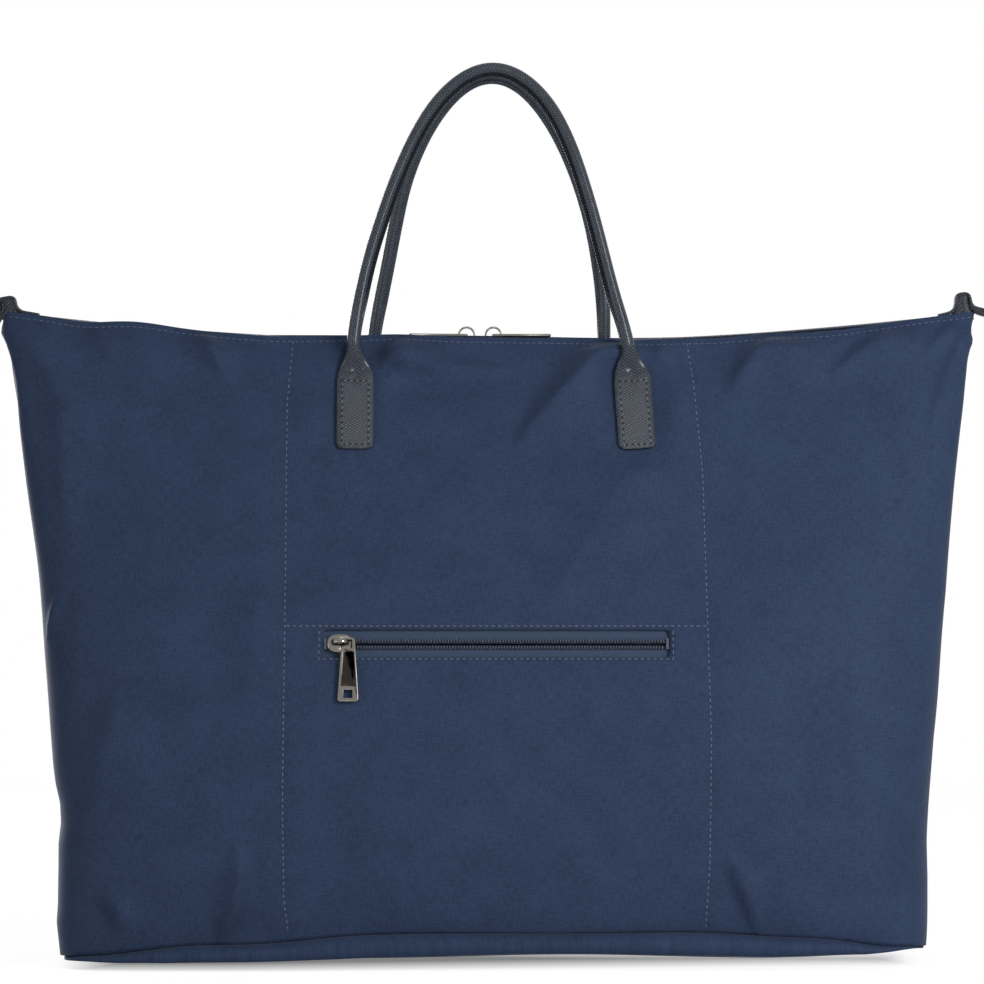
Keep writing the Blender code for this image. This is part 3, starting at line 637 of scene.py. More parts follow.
def cloth_wall(name, shares, middle_x, side_count, relief, edge_waves, seam_waves, mirror):
    points = wall_rows(shares, middle_x, side_count)
    lift = np.clip((shares - (1 - WAVY_SHARE)) / WAVY_SHARE, 0, 1)[:, None] ** 2
    drop = np.clip(1 - shares / WAVY_SHARE, 0, 1)[:, None] ** 2
    x = points[:, :, 0]
    front = np.clip(-points[:, :, 1] / FRONT_FADE, 0, 1)
    points[:, :, 2] += lift * wavy(x, edge_waves) + drop * (wavy(x, END_WAVES) + front * wavy(x, seam_waves))
    side_fade = np.clip(-points[:, :, 1] / SIDE_FADE, 0, 1)
    lip_fade = 1 - np.clip((shares - (1 - FLAT_LIP_SHARE)) / FLAT_LIP_SHARE, 0, 1)[:, None]
    below_tape = np.maximum(0.0, edge_height(x) - TAPE_REACH - points[:, :, 2])
    lowest = -TAPE_ROOM - TAPE_SLOPE * below_tape
    height = np.maximum(relief(x, points[:, :, 2]), lowest) * side_fade * lip_fade
    points = points + normals_of(points) * height[:, :, None]
    points = seam_and_hem(points, normals_of(points))
    uv = wall_uv(points)
    if mirror:
        points = points[:, ::-1] * np.array([1.0, -1.0, 1.0])
        uv = uv[:, ::-1]
    return grid_piece(name, points, uv)


def open_window(obj, low, high):
    """Cuts the pocket window into the front, rounds its corners and turns its edge in."""
    mesh = obj.data
    left = POCKET_X - SLOT_HALF_LENGTH
    right = POCKET_X + SLOT_HALF_LENGTH
    near = 0.0007
    alone(obj)
    bpy.ops.object.mode_set(mode="EDIT")
    bpy.ops.mesh.select_mode(type="FACE")
    bpy.ops.mesh.select_all(action="DESELECT")
    bpy.ops.object.mode_set(mode="OBJECT")
    for polygon in mesh.polygons:
        x, _, z = polygon.center
        polygon.select = left < x < right and low < z < high
    bpy.ops.object.mode_set(mode="EDIT")
    bpy.ops.mesh.delete(type="FACE")
    bpy.ops.mesh.select_mode(type="EDGE")
    bpy.ops.mesh.select_non_manifold(extend=False, use_wire=False, use_boundary=True, use_multi_face=False,
                                     use_non_contiguous=False, use_verts=False)
    bpy.ops.object.mode_set(mode="OBJECT")
    step = SLOT_CORNER * (1 - math.cos(math.pi / 4))
    side_step = SLOT_CORNER * (1 - math.cos(math.pi / 8))
    ring = set()
    for vertex in mesh.vertices:
        x, _, z = vertex.co
        if not (left - near < x < right + near and low - near < z < high + near):
            continue
        ring.add(vertex.index)
        to_x, turn_x = min((abs(x - left), 1), (abs(x - right), -1))
        to_z, turn_z = min((abs(z - low), 1), (abs(z - high), -1))
        if to_x < near and to_z < near:
            vertex.co.x += step * turn_x
            vertex.co.z += step * turn_z
        elif to_x < near and to_z < SLOT_CORNER - near:
            vertex.co.x += side_step * turn_x
        elif to_z < near and to_x < SLOT_CORNER - near:
            vertex.co.z += side_step * turn_z
    for edge in mesh.edges:
        edge.select = edge.select and set(edge.vertices) <= ring
    bpy.ops.object.mode_set(mode="EDIT")
    bpy.ops.mesh.extrude_edges_move(TRANSFORM_OT_translate={"value": (0, SLOT_TURN_IN, 0)})
    bpy.ops.object.mode_set(mode="OBJECT")
    mesh.polygons.foreach_set("use_smooth", [True] * len(mesh.polygons))
    mesh.update()


# Base: a flat middle, a belly round it and an upright edge that turns in at the seam
BASE_BELLY_REACH = 0.092
# How high the upright edge begins, as places across and shares of the seam's height
BASE_EDGE = ((-0.250, -0.232, -0.2145, -0.1856, -0.088, -0.064, -0.035, -0.012, 0.016, 0.063, 0.090, 0.120,
              0.155, 0.179, 0.2134, 0.234, 0.2453),
             (0.66, 0.60, 0.47, 0.35, 0.37, 0.40, 0.43, 0.47, 0.50, 0.50, 0.46, 0.43,
              0.44, 0.49, 0.64, 0.87, 0.95))
BASE_EDGE_TOP = 1.06
BASE_INSET = 0.0008
BASE_END_INSETS = (0.0063, 0.0048)
BASE_END_POWER = 10
# Where the sagging base stands clear of the floor: place, width and height
BASE_ARCH = ((0.045, 0.080, 0.0024),)
# Rows of the upright edge from its top down: how far each is set in, and its share of the rise
BASE_BAND = ((0.0066, 1.0), (0.0052, 0.93), (0.0030, 0.82), (0.0010, 0.61), (0.0008, 0.39))
BASE_STEP = 0.02
BASE_COLUMNS = 90
BASE_ROWS = 46
INSET_ROUNDS = 40


def base_cloth(seam_waves):
    for_band = BASE_STEP * np.arange(len(BASE_BAND), 0, -1)
    s, t = np.meshgrid(*[np.concatenate([-1 - for_band, np.linspace(-1, 1, count), 1 + for_band[::-1]])
                         for count in (BASE_COLUMNS, BASE_ROWS)])
    largest = np.maximum(np.maximum(np.abs(s), np.abs(t)), 1e-9)
    power = PLAN_POWER_BASE
    scale = (np.abs(s / largest) ** power + np.abs(t / largest) ** power) ** (-1 / power)
    wide = np.where(s < 0, LEFT_HALF[0], RIGHT_HALF[0])
    ring_x = s / largest * scale
    ring_y = t / largest * scale
    share = np.minimum(1.0, largest)
    x = ring_x * wide * share
    y = ring_y * BASE_HALF_DEPTH * share
    low = np.zeros_like(x)
    high = np.full_like(x, BASE_HALF_DEPTH - 1e-5)
    for _ in range(INSET_ROUNDS):
        inset = (low + high) / 2
        outside = np.abs(x / (wide - inset)) ** power + np.abs(y / (BASE_HALF_DEPTH - inset)) ** power > 1
        high = np.where(outside, inset, high)
        low = np.where(outside, low, inset)
    front = np.clip(-y / FRONT_FADE, 0, 1)
    rim = seam_height(x) + wavy(x, END_WAVES) + front * wavy(x, seam_waves) - SEAM_GAP
    rise = np.maximum(0.0, 1 - inset / BASE_BELLY_REACH)
    z = np.interp(x, *BASE_EDGE) * rim * rise + wavy(x, BASE_ARCH) * (1 - rise)
    x = x * (1 - BASE_INSET / wide)
    y = y * (1 - BASE_INSET / BASE_HALF_DEPTH)
    for i, (turn_in, up) in enumerate(BASE_BAND):
        band = np.isclose(largest, 1 + for_band[i])
        x = np.where(band, ring_x * (wide - turn_in), x)
        y = np.where(band, ring_y * (BASE_HALF_DEPTH - turn_in), y)
        edge = np.interp(x, *BASE_EDGE)
        z = np.where(band, rim * (edge + (BASE_EDGE_TOP - edge) * up), z)
    x = x - np.sign(x) * np.where(x < 0, *BASE_END_INSETS) * (np.abs(x) / wide) ** BASE_END_POWER
    points = np.stack([x, y, z], axis=2)
    return grid_piece("base_cloth", points[:, ::-1], np.stack([x, y], axis=2)[:, ::-1])


# Finishes
WEAVE_PITCH = 0.0008
THREAD_SHARE = 0.16
WEAVE_CONTRAST = 0.22


def woven(name, colour, roughness, depth, sheen):
    """Cloth whose warp and weft show as fine streaks along and across its map."""
    finish = Finish(name, {"Roughness": roughness, "Sheen Weight": sheen, "Sheen Roughness": 0.45,
                           "Specular IOR Level": 0.07})
    cloth = finish.cloth_map()
    fine, long = 1 / WEAVE_PITCH, THREAD_SHARE / WEAVE_PITCH
    warp = finish.noise(finish.stretched(cloth, (fine, long, 1.0)), 1.0, 1.0)
    weft = finish.noise(finish.stretched(cloth, (long, fine, 1.0)), 1.0, 1.0)
    cloud = finish.noise(finish.place(), 45.0, 2.0)
    shade = (warp + weft) * 0.5 + (cloud - 0.5) * 0.35
    dark = scaled(colour, 1 - WEAVE_CONTRAST)
    light = scaled(colour, 1 + WEAVE_CONTRAST)
    paint = finish.mix(shade.between(0.22, 0.78), dark, light)
    return finish.feed(Base_Color=paint, Normal=finish.bump(warp.maths("MAXIMUM", weft), depth, 0.5))


NYLON = woven("navy nylon", (0.0352, 0.0564, 0.1125), 0.62, 0.0002, 0.04)
LINING = woven("lining cloth", (0.026, 0.034, 0.058), 0.75, 0.0001, 0.1)


# Cloth panels
SLOT_STEPS = (0.0, 0.00185, SLOT_CORNER)
SLOT_ROWS = [POCKET_HEIGHT + side * (SLOT_HALF_HEIGHT - step) for side in (-1, 1) for step in SLOT_STEPS]
SLOT_COLUMNS = [POCKET_X + side * (SLOT_HALF_LENGTH - step) for side in (-1, 1) for step in SLOT_STEPS]
# Grids of the two walls: half the middle part, rows, columns, and the room beside lines that must be exact
MIDDLE_HALF = 0.19
FRONT_ROWS = 132
FRONT_COLUMNS = 126
FRONT_SIDE_COLUMNS = 34
ROW_ROOM = 0.0035
COLUMN_ROOM = 0.0011
BACK_ROWS = 90
BACK_COLUMNS = 90
BACK_SIDE_COLUMNS = 26

wall_rise = edge_height(0.0) - seam_height(0.0)
slot_shares = [(height - seam_height(0.0)) / wall_rise for height in SLOT_ROWS]
front_shares = with_lines(np.linspace(0, 1, FRONT_ROWS), slot_shares, ROW_ROOM)
front_columns = np.linspace(-MIDDLE_HALF, MIDDLE_HALF, FRONT_COLUMNS)
front_columns = with_lines(front_columns, SLOT_COLUMNS, COLUMN_ROOM)
back_shares = np.linspace(0, 1, BACK_ROWS)
back_columns = np.linspace(-MIDDLE_HALF, MIDDLE_HALF, BACK_COLUMNS)

front_cloth = cloth_wall("front_cloth", front_shares, front_columns, FRONT_SIDE_COLUMNS, front_relief,
                         LIP_WAVES, SEAM_WAVES, False)
open_window(front_cloth, POCKET_HEIGHT - SLOT_HALF_HEIGHT, POCKET_HEIGHT + SLOT_HALF_HEIGHT)
back_cloth = cloth_wall("back_cloth", back_shares, back_columns, BACK_SIDE_COLUMNS, back_relief,
                        BACK_LIP_WAVES, (), True)
base_piece = base_cloth(SEAM_WAVES)
for cloth, node in ((front_cloth, "front_panel"), (back_cloth, "back_panel"), (base_piece, "base_panel")):
    apply_modifier(cloth, "SOLIDIFY", thickness=CLOTH, offset=-1.0)
    dress(cloth, NYLON)
    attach(cloth, "bag")
    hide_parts(node)


# Pocket lining, hung behind the front
LINING_LEFT = -0.1170
LINING_RIGHT = 0.1226
LINING_BOTTOM = 0.030
LINING_TOP = 0.206
LINING_CLOTH = 0.0006
LINING_DEPTH = 0.010
LINING_BEHIND = 0.0048
RIPPLE = 0.08
RIPPLE_ACROSS = 19
RIPPLE_UP = 5
LINING_COLUMNS = 60
LINING_ROWS = 46


def lining_sheet():
    u, w = np.meshgrid(np.linspace(0, 1, LINING_COLUMNS), np.linspace(0, 1, LINING_ROWS))
    x = LINING_LEFT + (LINING_RIGHT - LINING_LEFT) * u
    z = LINING_BOTTOM + (LINING_TOP - LINING_BOTTOM) * w
    ripple = RIPPLE * np.sin(RIPPLE_ACROSS * u + RIPPLE_UP * w)
    slack = np.sin(math.pi * u) * (np.sin(math.pi * w) + ripple)
    y = wall_at(x, z) - tuck(x, z) + LINING_BEHIND + LINING_DEPTH * slack
    points = np.stack([x, y, z], axis=2)
    return grid_piece("pocket_lining_cloth", points, np.stack([x, z], axis=2))


lining_cloth = lining_sheet()
apply_modifier(lining_cloth, "SOLIDIFY", thickness=LINING_CLOTH, offset=-1.0)
dress(lining_cloth, LINING)
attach(lining_cloth, "bag")
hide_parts("pocket_lining")


# Handles: each is one strip of leather, flat on the wall as a tab and rolled into a tube with a sewn fin
HINGE_Y = 0.0227
HINGE_Z = 0.345
ARCH_FOOT = 0.005
LEAN = math.radians(3.5)
# Each arch's half span, rise and power, and the tube with its fin
FRONT_ARCH = (0.0793, 0.1655, 1.36)
REAR_ARCH = (0.0700, 0.1630, 1.60)
TUBE_RADIUS = 0.0033
FOOT_RADIUS = 0.0039
FIN_REACH = 0.0050
FIN_HALF = 0.00105
FIN_FULL = 0.030
# Steps of the fin in from its edge, its half thickness at each, and where it joins the tube
FIN_STEPS = (0.0, 0.00005, 0.0002, 0.0005, 0.0014)
FIN_HALVES = (0.0, 0.0005, 0.0008, FIN_HALF, FIN_HALF, FIN_HALF * 0.8)
FIN_ROOT = 0.0001
# The flat tab
TAB_HALF_WIDTH = 0.0107
TAB_HALF_THICK = 0.0011
TAB_OFF_WALL = 0.0017
TAB_BOTTOM = 0.2947
TAB_CORNER = 0.0042
TAB_EDGE = 0.001
TAB_EDGE_SHARE = 0.72
# Heights between which a tab rolls up, and a tube thins from its foot
FLARE_LOW = 0.3335
FLARE_HIGH = 0.3560
THIN_LOW = 0.355
THIN_HIGH = 0.400
# The dent above a tab: depth, height, and its reach up and across
DIMPLE = 0.0012
DIMPLE_HEIGHT = 0.3415
DIMPLE_RISE = 0.0045
DIMPLE_HALF = 0.0024
# Rows of points along a handle, and how its three lines join
CORNER_ROWS = 9
LEG_ROWS = 44
ARCH_ROWS = 120
ARCH_SAMPLES = 2001
ARCH_GAP = 0.002
FIXED_ROWS = 40
JOIN_ROUNDS = 3

# How far the left and the right leg of an arch lean to the right at each height above its hinge
SWAY_HEIGHTS = (0.0, 0.020, 0.036, 0.059, 0.082, 0.105, 0.128, 0.152, 0.168)
FRONT_SWAY = ((-0.0010, -0.0012, -0.0013, -0.0013, -0.0005, -0.0003, -0.0003, -0.0006, 0.0005),
              (0.0002, -0.0018, -0.0040, -0.0048, -0.0043, -0.0031, -0.0010, 0.0009, 0.0005))
REAR_SWAY = ((0.0006, 0.0010, 0.0018, 0.0027, 0.0018, -0.0001, -0.0006, -0.0003, 0.0),
             (-0.0050, -0.0041, -0.0019, -0.0010, 0.0, 0.0002, 0.0001, -0.0002, 0.0))
SWAY_SPREAD = (-0.008, -0.004, 0.0, 0.004, 0.008)

# Where the middle line of each leg runs, as heights and places across
LEG_HEIGHTS = (0.2947, 0.3350, 0.3560)
FRONT_LEGS = ((-0.0786, -0.0786, -0.0798), (0.0836, 0.0809, 0.0781))
REAR_LEGS = ((-0.0700, -0.0698, -0.0690), (0.0700, 0.0688, 0.0652))


def smooth_step(value, low, high):
    share = np.clip((value - low) / (high - low), 0, 1)
    return share * share * (3 - 2 * share)


def leg_line(places):
    """A leg from the tab's lower edge to the foot of the arch: points on the front's side of the bag."""
    z = np.concatenate([
        TAB_BOTTOM + TAB_CORNER * (1 - np.cos(np.linspace(0, math.pi / 2, CORNER_ROWS))),
        np.linspace(TAB_BOTTOM + TAB_CORNER, FLARE_HIGH, LEG_ROWS)[1:],
    ])
    x = np.interp(z, LEG_HEIGHTS, places)
    rolled = smooth_step(z, FLARE_LOW, FLARE_HIGH)
    flat_y = wall_at(x, z) - TAB_OFF_WALL
    tube_y = -HINGE_Y + (z - HINGE_Z) * math.tan(LEAN)
    y = flat_y + (tube_y - flat_y) * rolled
    return np.stack([x, y, z], axis=1)


def arch_line(arch, sways):
    half_span, rise, power = arch
    angle = np.linspace(math.pi, 0, ARCH_SAMPLES)
    h = ARCH_FOOT + rise * np.maximum(0.0, np.sin(angle)) ** (2 / power)
    left, right = [np.mean([np.interp(h + step, SWAY_HEIGHTS, sway) for step in SWAY_SPREAD], axis=0)
                   for sway in sways]
    x = half_span * np.cos(angle)
    x = x + np.where(x < 0, left, right)
    points = np.stack([x, -HINGE_Y + h * math.sin(LEAN), HINGE_Z + h * math.cos(LEAN)], axis=1)
    points = points[points[:, 2] > FLARE_HIGH + ARCH_GAP]
    return along_line(points, ARCH_ROWS)


def smoothed(points, rounds):
    for _ in range(rounds):
        inner = (points[:-2] + 2 * points[1:-1] + points[2:]) / 4
        points = np.concatenate([points[:1], inner, points[-1:]])
    return points


# Turns of the points round half a section. The first six shape the fin.
SECTION_TURNS = np.radians([0, 3.2, 6.4, 9.6, 13, 18.6, 26, 36, 48, 60, 71, 80, 86, 90, 94, 100, 109, 120,
                            133, 146, 158, 167, 173, 177])
FIN_TURNS = SECTION_TURNS[:6]


def section(rolled, fin, radius):
    """Points round the strip, from its inner edge: inward and forward of its middle line."""
    turns = np.concatenate([SECTION_TURNS, [math.pi], 2 * math.pi - SECTION_TURNS[:0:-1]])
    half = np.where(turns > math.pi, 2 * math.pi - turns, turns)
    front = np.where(turns > math.pi, -1.0, 1.0)
    reach = 2 * (TAB_HALF_WIDTH + TAB_HALF_THICK)
    along = half / math.pi * reach
    flat_n = np.clip(TAB_HALF_WIDTH + TAB_HALF_THICK - along, -TAB_HALF_WIDTH, TAB_HALF_WIDTH)
    flat_b = np.minimum(TAB_HALF_THICK, np.minimum(along, reach - along))
    from_edge = np.minimum(1.0, (TAB_HALF_WIDTH - np.abs(flat_n)) / TAB_EDGE)
    flat_b = flat_b * (TAB_EDGE_SHARE + (1 - TAB_EDGE_SHARE) * from_edge)
    tube_n = radius * np.cos(half)
    tube_b = radius * np.sin(half)
    root = tube_n[len(FIN_STEPS)] - FIN_ROOT
    fin_n = np.interp(half, FIN_TURNS, [FIN_REACH - step for step in FIN_STEPS] + [root])
    fin_b = np.interp(half, FIN_TURNS, FIN_HALVES)
    in_fin = half < FIN_TURNS[-1] + 1e-6
    tube_n = np.where(in_fin, tube_n + fin * (fin_n - tube_n), tube_n)
    tube_b = np.where(in_fin, tube_b + fin * (fin_b - tube_b), tube_b)
    n = flat_n + rolled * (tube_n - flat_n)
    b = (flat_b + rolled * (tube_b - flat_b)) * front
    return n, b


def handle_line(arch, sways, legs):
    line = np.concatenate([leg_line(legs[0]), arch_line(arch, sways), leg_line(legs[1])[::-1]])
    joined = smoothed(line[FIXED_ROWS:-FIXED_ROWS], JOIN_ROUNDS)
    return np.concatenate([line[:FIXED_ROWS], joined, line[-FIXED_ROWS:]])


def handle_strip(name, line, side):
    """The whole strip, rolled out along its middle line."""
    along = unit(np.gradient(line, axis=0))
    inward = np.stack([along[:, 2], np.zeros(len(line)), -along[:, 0]], axis=1)
    inward = unit(inward - along * np.sum(inward * along, axis=1, keepdims=True))
    forward = np.cross(inward, along)
    rolled = smooth_step(line[:, 2], FLARE_LOW, FLARE_HIGH)
    fin = smooth_step(line[:, 2] - FLARE_HIGH, 0.0, FIN_FULL)
    radius = FOOT_RADIUS + (TUBE_RADIUS - FOOT_RADIUS) * smooth_step(line[:, 2], THIN_LOW, THIN_HIGH)
    down = np.maximum(0.0, TAB_BOTTOM + TAB_CORNER - line[:, 2])
    shrink = (TAB_CORNER - np.sqrt(np.maximum(0.0, TAB_CORNER ** 2 - down ** 2))) / TAB_HALF_WIDTH
    rows = []
    for i, middle in enumerate(line):
        n, b = section(rolled[i], fin[i], radius[i])
        n = n * (1 - shrink[i] * (1 - rolled[i]))
        dent = DIMPLE * hump(middle[2], DIMPLE_HEIGHT, DIMPLE_RISE)
        b = b - dent * hump(n, 0.0, DIMPLE_HALF) * (b > 0)
        rows.append(middle + np.outer(n, inward[i]) + np.outer(b, forward[i]))
    rows = np.array(rows)
    rows = np.concatenate([rows, rows[:, :1]], axis=1)
    around = lengths_along(rows)
    run = np.repeat(lengths_along(line)[:, None], rows.shape[1], axis=1)
    uv = np.stack([around, run], axis=2)
    if side > 0:
        rows = rows * np.array([1.0, -1.0, 1.0])
        rows = rows[:, ::-1]
        uv = uv[:, ::-1]
    return grid_piece(name, rows, uv, wrap=True)


# Leather: the pitch and the slope of its pressed lines, and where a handle's fin lies on it, where shade is
# painted
GRAIN_PITCH = 0.00145
GRAIN_AROUND = 0.55
GRAIN_ALONG = 0.84
FIN_SHADE_WIDTH = (0.0030, 0.0042)
FIN_SHADE_HEIGHT = (0.370, 0.390)


def cross_grain(name, colour, roughness, coat, fin_shade=False):
    """Leather pressed with fine crossing lines, painted lighter on the raised lines and darker in the
    grooves: partly the grain's own tone, partly painted highlight and painted shade. A handle's sewn fin can
    be painted darker and without coat, as painted shade under the tube.
    """
    finish = Finish(name, {"Specular IOR Level": 0.10, "Coat Roughness": 0.20, "Coat Weight": coat})
    around, along, _ = finish.parts(finish.cloth_map())
    wander = finish.noise(finish.place(), 260.0, 2.0) * 0.0011
    first = (around * GRAIN_AROUND + along * GRAIN_ALONG + wander).wave(GRAIN_PITCH)
    second = (around * GRAIN_AROUND - along * GRAIN_ALONG + wander).wave(GRAIN_PITCH)
    hatch = first.maths("MINIMUM", second)
    patch = finish.noise(finish.place(), 120.0, 3.0)
    shade = hatch * 0.75 + patch * 0.30
    # Painted highlight on the raised lines and painted shade in the grooves, on top of the grain's own tone.
    paint = finish.mix(shade.between(0.15, 0.75), scaled(colour, 0.40), scaled(colour, 2.05))
    # Painted shade on the fin under the tube: a darker colour and no coat there.
    if fin_shade:
        _, _, height = finish.parts(finish.place())
        fin = (1.0 - around.between(*FIN_SHADE_WIDTH)) * height.between(*FIN_SHADE_HEIGHT)
        paint = finish.mix(fin, paint, scaled(colour, 0.30))
        finish.feed(Coat_Weight=(1.0 - fin) * coat)
    rough = patch * 0.14 + (roughness - 0.07)
    return finish.feed(Base_Color=paint, Roughness=rough, Normal=finish.bump(hatch, 0.0006, 1.0))


# The handles' leather, with painted shade on their fins.
LEATHER = cross_grain("navy leather", (0.048, 0.062, 0.086), 0.34, 0.48, True)

front_line = handle_line(FRONT_ARCH, FRONT_SWAY, FRONT_LEGS)
rear_line = handle_line(REAR_ARCH, REAR_SWAY, REAR_LEGS)
front_strip = handle_strip("front_handle_strip", front_line, -1)
rear_strip = handle_strip("rear_handle_strip", rear_line, 1)
for strip, body, side in ((front_strip, "front_handle", -1), (rear_strip, "rear_handle", 1)):
    fill_holes(strip)
    dress(strip, LEATHER)
    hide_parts(body, body.replace("handle", "tab_left"), body.replace("handle", "tab_right"))
    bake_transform(strip)


BAR_POINTS = 25


def bar(name, line, half_thick, half_width, corners):
    """A bar of rounded section along a line, as wide front to back and as thick square to that as given."""
    along = unit(np.gradient(line, axis=0))
    across = np.broadcast_to(np.array([0.0, 1.0, 0.0]), line.shape)
    up = unit(np.cross(across, along))
    turns = np.linspace(0, 2 * math.pi, BAR_POINTS)
    wide, thick = [np.sign(curve) * np.abs(curve) ** (2 / corners)
                   for curve in (np.cos(turns), np.sin(turns))]
    rows = line[:, None, :] + across[:, None, :] * (wide * half_width)[None, :, None]
    rows = rows + up[:, None, :] * (half_thick[:, None] * thick[None, :])[:, :, None]
    rows[:, -1] = rows[:, 0]
    run = np.repeat(lengths_along(line)[:, None], rows.shape[1], axis=1)
    piece = grid_piece(name, rows, np.stack([lengths_along(rows), run], axis=2), wrap=True)
    fill_holes(piece)
    return piece


# Rope cores inside the handles
CORE_RADIUS = 0.0019
CORE_START = 0.350
CORE_CORNERS = 2.0
ROPE_PITCH = 0.0024


def rope_core(name, line, side):
    line = line[line[:, 2] > CORE_START] * np.array([1.0, -side, 1.0])
    return bar(name, line, np.full(len(line), CORE_RADIUS), CORE_RADIUS, CORE_CORNERS)


def twisted_rope():
    finish = Finish("cotton rope", {"Base Color": (0.62, 0.58, 0.50, 1.0), "Roughness": 0.9})
    around, along, _ = finish.parts(finish.cloth_map())
    strands = (around + along * 0.8).wave(ROPE_PITCH)
    return finish.feed(Normal=finish.bump(strands, 0.0004))


ROPE = twisted_rope()
for name, line, side in (("front_handle", front_line, -1), ("rear_handle", rear_line, 1)):
    core = rope_core(name + "_rope", line, side)
    dress(core, ROPE)
    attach(core, name)
    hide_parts(name + "_core")


# Loops at the ends of the top zip, each a strip folded over a pad
LOOP_HALF_WIDTH = 0.0058
LOOP_ROWS = 90
LOOP_ROUNDS = 8
LOOP_CORNERS = 5.0
# Places across and up in metres, and half the thickness there in millimetres
RIGHT_LOOP = ((0.2587, 0.3724, 0.8), (0.2633, 0.3732, 1.0), (0.2668, 0.3744, 1.0), (0.2685, 0.3764, 1.0),
              (0.2691, 0.3796, 1.0), (0.2692, 0.3825, 1.0), (0.2700, 0.3843, 1.0), (0.2720, 0.3848, 1.0),
              (0.2746, 0.3850, 1.0), (0.2764, 0.3843, 1.0), (0.2770, 0.3819, 1.0), (0.2773, 0.3796, 1.0),
              (0.2784, 0.3768, 1.7), (0.2811, 0.3752, 2.2), (0.2854, 0.3740, 2.4), (0.2912, 0.3730, 2.2))
RIGHT_PAD = ((0.2726, 0.3700, 6.8), (0.2726, 0.3740, 5.9), (0.2726, 0.3760, 4.7), (0.2724, 0.3795, 3.7),
             (0.2724, 0.3838, 3.3))
LEFT_LOOP = ((-0.2627, 0.3728, 0.8), (-0.2674, 0.3735, 1.0), (-0.2720, 0.3742, 1.0), (-0.2746, 0.3756, 1.0),
             (-0.2763, 0.3779, 1.0), (-0.2768, 0.3811, 1.0), (-0.2773, 0.3825, 1.0), (-0.2787, 0.3829, 1.0),
             (-0.2819, 0.3824, 1.0), (-0.2842, 0.3817, 1.3), (-0.2864, 0.3802, 2.2), (-0.2874, 0.3767, 3.3),
             (-0.2872, 0.3727, 3.3), (-0.2869, 0.3692, 2.6), (-0.2868, 0.3680, 1.4))
LEFT_PAD = ((-0.2797, 0.3700, 6.6), (-0.2798, 0.3740, 5.8), (-0.2801, 0.3760, 4.8), (-0.2806, 0.3788, 4.2),
            (-0.2806, 0.3818, 3.2))


def folded_strap(name, path):
    x, z, half_thick = np.array(path).T
    line = along_line(np.stack([x, 0 * x, z, half_thick * MILLIMETRE], axis=1), LOOP_ROWS)
    line = smoothed(line, LOOP_ROUNDS)
    return bar(name, line[:, :3], line[:, 3], LOOP_HALF_WIDTH, LOOP_CORNERS)


LOOP_LEATHER = cross_grain("loop leather", (0.053, 0.060, 0.076), 0.46, 0.12)
for name, path, pad in (("end_loop_left", LEFT_LOOP, LEFT_PAD), ("end_loop_right", RIGHT_LOOP, RIGHT_PAD)):
    strap = folded_strap(name + "_strap", path)
    filler = folded_strap(name + "_pad", pad)
    for piece in (strap, filler):
        dress(piece, LOOP_LEATHER)
        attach(piece, "bag")
    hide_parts(name)


# Repeated small shapes

def small_ball(size, segments, rings):
    bpy.ops.object.select_all(action="DESELECT")
    bpy.ops.mesh.primitive_uv_sphere_add(segments=segments, ring_count=rings, radius=1.0, scale=size)
    bpy.ops.object.transform_apply(location=False, rotation=False, scale=True)
    return bpy.context.object


def small_disc(radius):
    bpy.ops.object.select_all(action="DESELECT")
    bpy.ops.mesh.primitive_circle_add(vertices=8, radius=radius, fill_type="NGON")
    return bpy.context.object


def copies_of(name, template, placements, material, body):
    """Many copies of one small shape in one piece. A placement is a place, the way along and the way out."""
    shape = np.array([vertex.co for vertex in template.data.vertices])
    faces = [tuple(polygon.vertices) for polygon in template.data.polygons]
    bpy.data.objects.remove(template)
    vertices = []
    polygons = []
    for place, along, out in placements:
        along = unit(along)
        side = unit(np.cross(out, along))
        start = len(vertices) * len(shape)
        frame_of = np.stack([along, side, np.cross(along, side)])
        vertices.append(np.array(place) + shape @ frame_of)
        polygons += [tuple(start + i for i in face) for face in faces]
    mesh = bpy.data.meshes.new(name)
    mesh.from_pydata(np.concatenate(vertices).tolist(), [], polygons)
    mesh.polygons.foreach_set("use_smooth", [True] * len(mesh.polygons))
    obj = bpy.data.objects.new(name, mesh)
    bpy.context.scene.collection.objects.link(obj)
    dress(obj, material)
    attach(obj, body)
    return obj


# Stitching
STITCH_PITCH = 0.0036
STITCH_SIZE = (0.00130, 0.00031, 0.00026)
STITCH_LIFT = 0.00008
STITCH_SAMPLES = 2000
STITCH_REACH = 0.3
LONGEST_STITCH = 1.5
CLOTH_HOLE_RADIUS = 0.00038
CLOTH_HOLE_LIFT = 0.00005
HEM_BELOW_EDGE = 0.0021
HEM_SAMPLES = 200
TAB_STITCH_PITCH = 0.0034
TAB_STITCH_SIZE = (0.00100, 0.00032, 0.00026)
TAB_STITCH_LIFT = 0.00006
TAB_HOLE_RADIUS = 0.00080
TAB_HOLE_LIFT = 0.00004
TAB_FRAME_HALF_WIDTH = 0.0076
TAB_FRAME_HALF_HEIGHT = 0.0184


def tree_of(obj):
    return BVHTree.FromPolygons([vertex.co for vertex in obj.data.vertices],
                                [polygon.vertices for polygon in obj.data.polygons])


def touch(tree, place, side):
    """Where a line from the front (side -1) or the back (1) first meets a surface, and its normal there."""
    point, normal, _, _ = tree.ray_cast(Vector((place[0], side, place[1])), Vector((0, -side, 0)))
    return (np.array(point), np.array(normal)) if point else None


